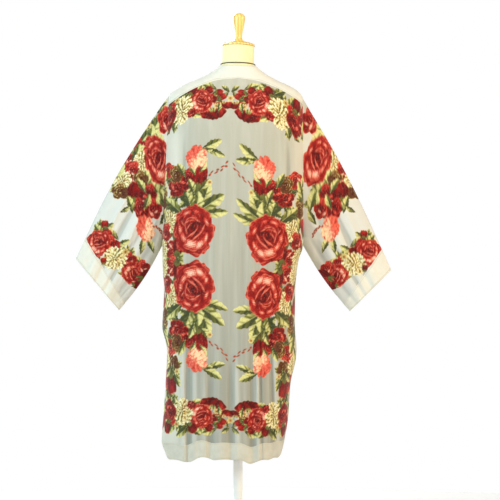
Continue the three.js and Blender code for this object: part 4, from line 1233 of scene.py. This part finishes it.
def cover_finish():
    """Fine jersey that covers the form"""
    form = settings("kimono_form")
    f = Finish("form_cover")
    place, uv = f.place(), f.map()
    u, v, _ = f.parts(uv)
    rib = (u * (2 * math.pi / form.knit)).sine()
    loop = (v * (2 * math.pi / form.knit) + rib * 1.4).sine()
    mottle = f.noise(place, 24, 4)
    fuzz = f.noise(place, 900, 2)
    colour = f.tinted(form.cover, (mottle, 0.3, 0.75, 0.0, 0.35, (228, 212, 154)),
                      (rib * loop, -1, 1, 0.12, 0.0, (186, 168, 112)))
    f.set(Base_Color=colour, Roughness=f.spread(mottle, 0.2, 0.8, 0.80, 0.92), Sheen_Weight=0.15,
          Specular_IOR_Level=0.25)
    return f.bump(rib * 0.25 + loop * 0.25 + fuzz * 0.5, 0.0004, 0.5).material


TOOL_MARKS = 0.0016             # metres between two marks of the turning tool


def wood_finish():
    """Lacquered turned wood, its rings round the turning axis and its pores along it"""
    form = settings("kimono_form")
    f = Finish("turned_wood")
    place = f.place()
    warp = f.noise(f.stretched(place, (14, 14, 3)), 1.0, 3)
    x, y, z = f.parts(place)
    rings = ((x * 620 + y * 260) + warp * 16).sine()
    pores = f.noise(f.stretched(place, (1500, 1500, 70)), 1.0, 2)
    turned = (z * (2 * math.pi / TOOL_MARKS)).sine()
    colour = f.blend(f.spread(rings, -0.6, 1.0, 0.0, 0.62), form.wood, form.wood_grain)
    colour = f.tinted(colour, (pores, 0.62, 0.74, 0.0, 0.5, (128, 82, 26)),
                      (warp, 0.3, 0.8, 0.0, 0.3, (248, 226, 150)))
    f.set(Base_Color=colour, Roughness=f.spread(pores, 0.4, 0.8, 0.30, 0.5), Coat_Weight=0.35,
          Coat_Roughness=0.18)
    return f.bump(turned * 0.12 - f.spread(pores, 0.6, 0.75), 0.0002, 0.35).material


def cord_finish():
    """Twisted black cord"""
    f = Finish("neck_cord")
    place = f.place()
    fibres = f.noise(place, 2400, 2)
    colour = f.blend(f.spread(fibres, 0.35, 0.7), settings("kimono_form").cord, dye(84, 76, 64))
    f.set(Base_Color=colour, Roughness=f.spread(fibres, 0.2, 0.8, 0.7, 0.9), Sheen_Weight=0.2)
    return f.bump(fibres, 0.0003, 0.6).material


def paint_finish():
    """Powder-coated steel"""
    f = Finish("stand_paint")
    place = f.place()
    peel = f.noise(place, 900, 2)
    dust = f.noise(place, 16, 4)
    paint = settings("kimono_form").paint
    colour = f.tinted(paint, (dust, 0.4, 0.8, 0.0, 0.25, (222, 218, 206)))
    f.set(Base_Color=colour, Roughness=f.spread(dust, 0.2, 0.8, 0.34, 0.48), Metallic=0.0)
    return f.bump(peel, 0.0002, 0.3).material


def floor_finish():
    f = Finish("floor")
    grain = f.noise(f.place(), 60, 3)
    colour = f.blend(grain, settings("kimono_stage").floor, dye(250, 250, 250))
    return f.set(Base_Color=colour, Roughness=0.9).material


MAKERS = {
    "printed_chiffon": chiffon_finish, "woven_border": border_finish, "form_cover": cover_finish,
    "turned_wood": wood_finish, "neck_cord": cord_finish, "stand_paint": paint_finish,
    "floor": floor_finish,
}


def finish_named(name):
    """A material by name, made once"""
    return bpy.data.materials.get(f"{name}_finish") or MAKERS[name]()


# ---- pieces of the jacket ----------------------------------------------------------------

OVERLAP = 1.5                   # how far the chiffon runs into a border's fold
# Flat sizes in metres. A sleeve's armhole end is cut on a slant, and a front narrows upwards.
BACK_CUT, SHOULDER_CUT = (0.54, 1.04), (0.52, 0.055)
FRONT_CUT, FRONT_CUT_AREA = (0.20, 1.14), 0.167
SLEEVE_CUT, SLEEVE_CUT_AREA = (0.42, 0.60), 0.178
BACK_HEM_CUT, FRONT_HEM_CUT = (0.56, BORDER * MM), (0.16, BORDER * MM)
FRONT_EDGE_CUT = BORDER * MM, 1.25
# Widths that the points are spread over, and how much wider than those the rows are spaced
HALF_BACK, FRONT, SLEEVE_ROUND = 232, 128, 560
BACK_ROWS, FRONT_ROWS, SLEEVE_ROWS = 1.12, 1.25, 1.2
ROW_LENGTHS = [SHOULDER_BORDER, 122, YOKE - UNDERARM, 592, BORDER]
BEFORE_YOKE = np.nextafter(1, 0)    # the last row on the shoulder border's side of its seam
BORDER_ROWS, CUFF_ROWS, EDGE_SPACING = 20, 18, 4.0
SHOULDER_COLUMNS, BACK_HEM_COLUMNS, FRONT_HEM_COLUMNS, EDGE_COLUMNS = 90, 120, 80, 20
SEAM_LAYERS, SEAM_EDGE = 9, 1.2  # width over which two layers show at a seam, and of its edge
SLEEVE_ROOT = 2.1               # length round a sleeve's root, as a multiple of the armhole's height
MOST_FROM_SEAM = 60             # distance from a seam beyond which it no longer counts


def yoke_columns(side, face, start, end, count):
    """Columns evenly spaced between two distances from a front's free edge or the back's middle.

    They are measured along the yoke line. No end means the seam.
    """
    x, _, run = arc(side, face, np.array(float(YOKE)), 400)
    offset = np.interp(EDGES[side](YOKE), x, run) if face == "front" else 0
    end = run[-1] if end is None else end + offset
    return np.interp(np.linspace(start + offset, end, count + 1), run, x)


def row_numbers(spacing, top, foot):
    """Row numbers from the foot up, evenly spaced over each part between top and foot"""
    rows = [np.array([top, foot], float)]
    for part in range(math.floor(top + 0.5), math.ceil(foot - 0.5)):
        count = max(4, round(ROW_LENGTHS[part] / spacing))
        rows.append(np.linspace(part, part + 1, count + 1))
    rows = np.unique(np.concatenate(rows))
    return rows[::-1]


def tidy_seams(places):
    """Closes the hairline that the part leaves at the side and shoulder seams"""
    y = places[..., 1]
    places[..., 1] = np.sign(y) * np.maximum(0, np.abs(y) - SEAM / 2 * np.exp(-np.abs(y) / 2))
    return places * MM


def make_sheet(node, places, size, fields, look, rests_on, flat=None, closed=False, **cut):
    """Makes one hung piece of cloth. Its UV map spans size, which is its flat size when no flat is given.
    The flat argument is not used.
    """
    piece = finish_piece(f"{node}_cloth", sheet_bmesh(places, size, closed), node, look)
    give_point_data(piece, fields)
    if look == "woven_border":
        shell = piece.modifiers.new("Fold", "SOLIDIFY")
        shell.thickness, shell.offset = settings("kimono_cloth").border_wall, 0
    return piece


def border_fields(from_edge, width, run):
    """How far each point of a border is from its nearer long edge, and along it"""
    from_edge = np.minimum(from_edge, width - from_edge)
    return {"edge_distance": from_edge.ravel() * MM, "edge_run": run.ravel() * MM}


def chiffon_fields(cloth, crease, from_seam):
    """The print and the creases' depth at each point, painted as light and shade by the chiffon, and one
    where a seam's two layers lie together
    """
    layers = fall(from_seam, SEAM_LAYERS, SEAM_EDGE)
    return {**cloth.fields(), "crease": crease.ravel(), "seam_inside": layers.ravel()}


def back_grid(rows, count):
    """Both halves of the back, from the left seam to the right"""
    left = yoke_columns("left", "back", 0, None, count)[::-1]
    right = yoke_columns("right", "back", 0, None, count)[1:]
    halves = [body_cloth("left", "back", left, rows), body_cloth("right", "back", right, rows)]
    return [np.concatenate(parts, 1) for parts in zip(*halves)]


def front_grid(side, start, end, rows, count):
    """Part of one front between two distances from its free edge, outside to the right hand"""
    columns = yoke_columns(side, "front", start, end, count)
    parts = body_cloth(side, "front", columns, rows)
    return [part[:, ::-1] if side == "right" else part for part in parts]


class KIMONO_OT_panels(bpy.types.Operator):
    """Makes the printed back and the two printed fronts"""
    bl_idname = "kimono.panels"
    bl_label = "Back and fronts"

    def execute(self, context):
        spacing = settings("kimono_cloth").point_spacing / MM
        top, foot = 1 - OVERLAP / SHOULDER_BORDER, 4 + OVERLAP / BORDER
        rows = row_numbers(spacing * BACK_ROWS, top, foot)
        places, across, height, crease = back_grid(rows, round(HALF_BACK / spacing))
        from_seam = np.minimum(across - across[:, :1], across[:, -1:] - across)
        fields = chiffon_fields(body_print(across, height), crease, from_seam)
        make_sheet("back_panel", tidy_seams(places), BACK_CUT, fields, "printed_chiffon",
                   "form_torso_cover")

        rows = row_numbers(spacing * FRONT_ROWS, 0, foot)
        for side in SLEEVES:
            places, across, height, crease = front_grid(
                side, BORDER - OVERLAP, None, rows, round(FRONT / spacing))
            seam = across[:, :1] if side == "right" else across[:, -1:]
            from_seam = np.abs(seam) - np.abs(across)
            fields = chiffon_fields(body_print(across, height), crease, from_seam)
            make_sheet(f"front_panel_{side}", tidy_seams(places), FRONT_CUT, fields, "printed_chiffon",
                       "form_torso_cover", area=FRONT_CUT_AREA)
        return {"FINISHED"}


class KIMONO_OT_borders(bpy.types.Operator):
    """Makes the opaque borders of the shoulders, the fronts and the hems"""
    bl_idname = "kimono.borders"
    bl_label = "Borders"

    def execute(self, context):
        rows = np.linspace(1, 0, BORDER_ROWS + 1)
        grid = back_grid(np.minimum(rows, BEFORE_YOKE), SHOULDER_COLUMNS)
        self.level_border("back_shoulder_border", grid, rows, SHOULDER_BORDER, SHOULDER_CUT,
                          "form_torso_cover")

        rows = np.linspace(5, 4, BORDER_ROWS + 1)
        grid = back_grid(rows, BACK_HEM_COLUMNS)
        self.level_border("back_hem_border", grid, rows - 4, BORDER, BACK_HEM_CUT, "back_panel_cloth")
        for side in SLEEVES:
            grid = front_grid(side, BORDER + SEAM / 2, None, rows, FRONT_HEM_COLUMNS)
            self.level_border(f"front_hem_border_{side}", grid, rows - 4, BORDER, FRONT_HEM_CUT,
                              f"front_panel_{side}_cloth")

            long_rows = row_numbers(EDGE_SPACING, 0, 5)
            places, across, height, _ = front_grid(side, 0, BORDER - SEAM / 2, long_rows, EDGE_COLUMNS)
            from_edge = np.abs(across) - np.abs(across).min(1, keepdims=True)
            make_sheet(f"front_edge_border_{side}", tidy_seams(places), FRONT_EDGE_CUT,
                       border_fields(from_edge, BORDER, height), "woven_border", "form_torso_cover")
        return {"FINISHED"}

    @staticmethod
    def level_border(node, grid, shares, width, cut, rests_on):
        """Makes a border that runs across, each row a share of its width from the top edge"""
        places, across, _, _ = grid
        depth = np.broadcast_to((shares * width)[:, None], across.shape)
        make_sheet(node, tidy_seams(places), cut, border_fields(depth, width, across),
                   "woven_border", rests_on)


class KIMONO_OT_sleeves(bpy.types.Operator):
    """Makes the two sleeves and their borders"""
    bl_idname = "kimono.sleeves"
    bl_label = "Sleeves"

    def execute(self, context):
        spacing = settings("kimono_cloth").point_spacing / MM
        for side, sleeve in SLEEVES.items():
            across = (sleeve.cuff_top[0] + sleeve.cuff_foot[0] - sleeve.top - sleeve.foot) / 2
            down = (SHOULDER_POINT + UNDERARM - sleeve.cuff_top[1] - sleeve.cuff_foot[1]) / 2
            length = math.hypot(across, down)
            cuff_start = 1 - CUFF_BORDER / length
            turns = np.linspace(0, 2 * math.pi, round(SLEEVE_ROUND / spacing) + 1)
            if side == "left":
                turns = turns[::-1]
            ring = sleeve_cloth(side, [1.0], turns)[0][0]
            mouth = float(np.linalg.norm(np.diff(ring, axis=0), axis=1).sum())
            root = (SHOULDER_POINT - UNDERARM) * SLEEVE_ROOT

            rings = round(length / spacing / SLEEVE_ROWS)
            alongs = np.linspace(0.0, cuff_start + OVERLAP / length, rings + 1)
            places, along, crease = sleeve_cloth(side, alongs, turns)
            from_seam = np.minimum(along * length, MOST_FROM_SEAM)
            fields = chiffon_fields(sleeve_print(side, places), crease, from_seam)
            size = ((root + mouth) / 2 * MM, length * MM)
            made = make_sheet(f"sleeve_{side}", places * MM, size, fields, "printed_chiffon",
                              "back_panel_cloth", flat=SLEEVE_CUT, closed=True, area=SLEEVE_CUT_AREA)

            places, along, _ = sleeve_cloth(side, np.linspace(cuff_start, 1.0, CUFF_ROWS + 1), turns)
            run = np.broadcast_to(np.linspace(0, mouth, len(turns)), along.shape)
            fields = border_fields((along - cuff_start) * length, CUFF_BORDER, run)
            make_sheet(f"cuff_border_{side}", places * MM, (mouth * MM, CUFF_BORDER * MM), fields,
                       "woven_border", made.name, closed=True)
        return {"FINISHED"}


# ---- the form and its stand --------------------------------------------------------------

PRINCESS_SEAMS = (0.0, 62.0)     # distances of the cover's seams from the middle
PRINCESS_WIDTH = 160             # the form's half width where they are that far
SEAM_GROOVE, SEAM_GROOVE_WIDTH, GROOVE_END = 0.5, 1.6, 0.3
# Heights between which the form's rings are spread evenly, and how many
FORM_RINGS = [(FORM_BOTTOM, 756, 8), (756, 1290, 100), (1290, NECK_BASE, 46)]
FORM_STEPS, FORM_CUT = 144, (0.95, 0.70)   # round the form; metres that its UV map spans
SHARP_EDGE = 38                  # degrees from which an edge of a turned piece stays sharp
CORD_STEPS, CORD_SIDES, CORD_TWISTS = 480, 14, 48
CORD_GROOVE = 0.20               # depth between the cord's strands, as a share of its radius


def on_neck(height):
    """Places what stands at a height in millimetres over the neck's foot"""
    return neck_frame() @ Matrix.Translation((0, 0, height * MM))


def turned_piece(node, outline, steps, look, matrix=None):
    """Makes one turned piece, smooth but for its sharp edges"""
    bm = turned_bmesh(outline, steps)
    if matrix:
        bmesh.ops.transform(bm, matrix=matrix, verts=bm.verts)
    piece = finish_piece(f"{node}_turned", bm, node, look)
    bm = bmesh.new()
    bm.from_mesh(piece.data)
    for edge in bm.edges:
        if len(edge.link_faces) == 2 and edge.calc_face_angle(0) > math.radians(SHARP_EDGE):
            edge.smooth = False
    bm.to_mesh(piece.data)
    bm.free()


class KIMONO_OT_form(bpy.types.Operator):
    """Makes the covered torso and neck of the form"""
    bl_idname = "kimono.form"
    bl_label = "Form"

    def execute(self, context):
        heights = np.unique(np.concatenate([np.linspace(*part) for part in FORM_RINGS]))
        angle, height = np.meshgrid(np.linspace(0, 2 * math.pi, FORM_STEPS + 1), heights)
        width = FORM["width"](height)
        rounded_part = lambda t: np.sign(t) * np.abs(t) ** (2 / ROUNDNESS)
        x, y = width * rounded_part(np.cos(angle)), FORM["depth"](height) * rounded_part(np.sin(angle))
        for distance in PRINCESS_SEAMS:
            near = swell(np.abs(x) - distance * width / PRINCESS_WIDTH, SEAM_GROOVE_WIDTH)
            near = near * (np.abs(np.sin(angle)) > GROOVE_END)
            y = y - np.sign(y) * SEAM_GROOVE * near
        bm = sheet_bmesh(np.stack([x, y, lean(x, y, height)], -1) * MM, FORM_CUT, closed=True)
        bmesh.ops.holes_fill(bm, edges=[edge for edge in bm.edges if edge.is_boundary], sides=0)
        torso = finish_piece("form_torso_cover", bm, "form_torso", "form_cover")
        torso.data.attributes.remove(torso.data.attributes["station"])

        outline = rounded([(0, 0), (NECK_FOOT_RADIUS, 0), (NECK_RADIUS + 0.6, 14),
                           (NECK_RADIUS, NECK_HEIGHT), (0, NECK_HEIGHT)], 1.2)
        turned_piece("form_neck", outline, 96, "form_cover", on_neck(SEAM))
        return {"FINISHED"}


class KIMONO_OT_neck_fittings(bpy.types.Operator):
    """Makes the wooden neck plate, the finial and the cord"""
    bl_idname = "kimono.neck_fittings"
    bl_label = "Neck fittings"

    def execute(self, context):
        plate_foot = SEAM + NECK_HEIGHT + SEAM
        top = PLATE_RIM + PLATE_DOME
        plate = rounded([(0, 0), (PLATE_RADIUS, 0), (PLATE_RADIUS, PLATE_RIM),
                         (PLATE_RADIUS * 0.78, PLATE_RIM + PLATE_DOME * 0.55),
                         (PLATE_RADIUS * 0.5, PLATE_RIM + PLATE_DOME * 0.9), (FINIAL_FOOT, top),
                         (0, top)], 1.6)
        turned_piece("neck_plate", plate, 96, "turned_wood", on_neck(plate_foot))

        stem = [(FINIAL_WAIST + 1.6, FINIAL_WAIST_AT * 0.62), (FINIAL_WAIST, FINIAL_WAIST_AT)]
        for t in np.arange(1, 13) / 12:
            widened = smooth(t) * 0.6 + 0.4 * t
            stem.append((mix(FINIAL_WAIST, FINIAL_SHOULDER, widened),
                         mix(FINIAL_WAIST_AT, FINIAL_SHOULDER_AT, t)))
        crown_height = FINIAL_HEIGHT - FINIAL_SHOULDER_AT
        crown = [(FINIAL_SHOULDER * math.cos(a), FINIAL_SHOULDER_AT + crown_height * math.sin(a))
                 for a in np.linspace(0, math.pi / 2, 14)[1:-1]]
        foot = [(0, 0), (FINIAL_FOOT - 0.8, 0), (FINIAL_FOOT, 0.8), (FINIAL_FOOT, 2.2),
                (FINIAL_FOOT * 0.84, 3.6)]
        outline = foot + stem + crown + [(0, FINIAL_HEIGHT)]
        turned_piece("neck_finial", outline, 72, "turned_wood", on_neck(plate_foot + top + SEAM))

        bm = bmesh.new()
        bmesh.ops.create_circle(bm, segments=CORD_SIDES, radius=CORD_THICKNESS / 2 * 0.96 * MM)
        upright = Matrix.Translation((CORD_RADIUS * MM, 0, 0)) @ Matrix.Rotation(math.pi / 2, 4, "X")
        bmesh.ops.transform(bm, matrix=upright, verts=bm.verts)
        bmesh.ops.spin(bm, geom=bm.verts[:] + bm.edges[:], cent=(0, 0, 0), axis=(0, 0, 1),
                       angle=2 * math.pi, steps=CORD_STEPS, use_merge=True)
        bmesh.ops.recalc_face_normals(bm, faces=bm.faces)
        for vert in bm.verts:
            round_angle = math.atan2(vert.co.y, vert.co.x)
            out = math.hypot(vert.co.x, vert.co.y) - CORD_RADIUS * MM
            turn = math.atan2(vert.co.z, out) - CORD_TWISTS * round_angle
            share = 1 - CORD_GROOVE + CORD_GROOVE * abs(math.cos(turn))
            radius = CORD_RADIUS * MM + out * share
            vert.co.xy = radius * math.cos(round_angle), radius * math.sin(round_angle)
            vert.co.z *= share
        bmesh.ops.transform(bm, matrix=on_neck(SEAM + CORD_THICKNESS / 2 + 1), verts=bm.verts)
        finish_piece("neck_cord_twist", bm, "neck_cord", "neck_cord")
        return {"FINISHED"}


class KIMONO_OT_stand(bpy.types.Operator):
    """Makes the plate under the form, the pole and the round base"""
    bl_idname = "kimono.stand"
    bl_label = "Stand"

    def execute(self, context):
        base = rounded([(0, 0), (BASE_RADIUS, 0), (BASE_RADIUS, BASE_THICKNESS - 1),
                        (BASE_RADIUS - 4, BASE_THICKNESS), (HUB_RADIUS + 14, BASE_THICKNESS + 3),
                        (HUB_RADIUS, BASE_THICKNESS + 9), (POLE_RADIUS + 8, HUB_HEIGHT),
                        (0, HUB_HEIGHT)], 2.4)
        plate_foot = FORM_BOTTOM - SEAM - UNDERPLATE_THICKNESS
        turned_piece("stand_base", base, 128, "stand_paint")
        for node, radius, foot, top, corner, steps in (
                ("stand_pole", POLE_RADIUS, HUB_HEIGHT + SEAM, plate_foot - SEAM, 0.8, 64),
                ("form_underplate", UNDERPLATE_RADIUS, plate_foot,
                 plate_foot + UNDERPLATE_THICKNESS, 1.0, 72)):
            outline = rounded([(0, foot), (radius, foot), (radius, top), (0, top)], corner)
            turned_piece(node, outline, steps, "stand_paint")
        return {"FINISHED"}


AIM = Vector((0, 0, 0.85))       # what the lights are turned to


class KIMONO_OT_stage(bpy.types.Operator):
    """Makes the floor, the soft lights and the camera"""
    bl_idname = "kimono.stage"
    bl_label = "Stage"

    def execute(self, context):
        stage = settings("kimono_stage")
        scene = context.scene
        bm = bmesh.new()
        bmesh.ops.create_circle(bm, cap_ends=True, segments=96, radius=stage.floor_radius)
        mesh = bpy.data.meshes.new("floor")
        bm.to_mesh(mesh)
        bm.free()
        mesh.materials.append(finish_named("floor"))
        floor = bpy.data.objects.new("floor", mesh)
        scene.collection.objects.link(floor)

        white = (1.0, 1.0, 1.0)
        self.light("key", (4.0, -2.4, 2.4), 2.0, stage.key_power, stage.key_colour)
        self.light("fill", (-4.0, -2.4, 2.2), 2.0, stage.fill_power, stage.fill_colour)
        self.light("top", (0.0, -2.2, 3.8), 1.6, stage.top_power, white)
        self.light("far_side", (-1.6, 4.2, 2.4), 2.6, stage.front_power, white)

        world = scene.world or bpy.data.worlds.new("Surroundings")
        scene.world = world
        world.use_nodes = True
        tree = world.node_tree
        background = tree.nodes["Background"]
        background.inputs["Color"].default_value = (1, 1, 1, 1)
        direction = tree.nodes.new("ShaderNodeTexCoord")
        height = tree.nodes.new("ShaderNodeSeparateXYZ")
        band = tree.nodes.new("ShaderNodeMapRange")
        band.interpolation_type = "SMOOTHSTEP"
        for name, value in (("From Min", 0.09), ("From Max", 0.26), ("To Min", stage.world),
                            ("To Max", stage.sky)):
            band.inputs[name].default_value = value
        tree.links.new(direction.outputs["Generated"], height.inputs[0])
        tree.links.new(height.outputs["Z"], band.inputs["Value"])
        tree.links.new(band.outputs[0], background.inputs["Strength"])
        scene.view_settings.view_transform = "Standard"

        camera = bpy.data.objects.new("camera", bpy.data.cameras.new("camera"))
        camera.location = (stage.camera_across, -stage.camera_distance, stage.camera_height)
        camera.rotation_euler = (math.pi / 2, 0, 0)
        camera.data.lens = camera.data.sensor_width * stage.camera_distance / stage.field
        camera.data.clip_end = 100
        scene.collection.objects.link(camera)
        scene.camera = camera
        return {"FINISHED"}

    @staticmethod
    def light(name, place, size, power, colour):
        data = bpy.data.lights.new(name, "AREA")
        data.size, data.energy, data.color = size, power, colour
        lamp = bpy.data.objects.new(name, data)
        lamp.location = place
        lamp.rotation_euler = (Vector(place) - AIM).to_track_quat("Z", "Y").to_euler()
        bpy.context.scene.collection.objects.link(lamp)


# ---- add-on ------------------------------------------------------------------------------

OPERATORS = (KIMONO_OT_form, KIMONO_OT_neck_fittings, KIMONO_OT_stand, KIMONO_OT_panels,
             KIMONO_OT_borders, KIMONO_OT_sleeves, KIMONO_OT_stage)
GROUPS = {"kimono_cloth": KimonoCloth, "kimono_print": KimonoPrint, "kimono_form": KimonoForm,
          "kimono_stage": KimonoStage}


class KIMONO_PT_panel(bpy.types.Panel):
    """Lists the pieces and their settings"""
    bl_idname = "KIMONO_PT_panel"
    bl_label = "Kimono jacket"
    bl_space_type = "VIEW_3D"
    bl_region_type = "UI"
    bl_category = "Kimono"

    def draw(self, context):
        for operator in OPERATORS:
            self.layout.operator(operator.bl_idname)
        for group, kind in GROUPS.items():
            box = self.layout.box()
            box.label(text=kind.__doc__)
            for name in kind.__annotations__:
                box.prop(getattr(context.scene, group), name)


CLASSES = (*GROUPS.values(), *OPERATORS, KIMONO_PT_panel)


def register():
    for kind in CLASSES:
        bpy.utils.register_class(kind)
    for group, kind in GROUPS.items():
        setattr(bpy.types.Scene, group, PointerProperty(type=kind))


def unregister():
    for group in GROUPS:
        delattr(bpy.types.Scene, group)
    for kind in reversed(CLASSES):
        bpy.utils.unregister_class(kind)


def main():
    register()
    for operator in OPERATORS:
        group, name = operator.bl_idname.split(".")
        getattr(getattr(bpy.ops, group), name)()


if __name__ == "__main__":
    main()
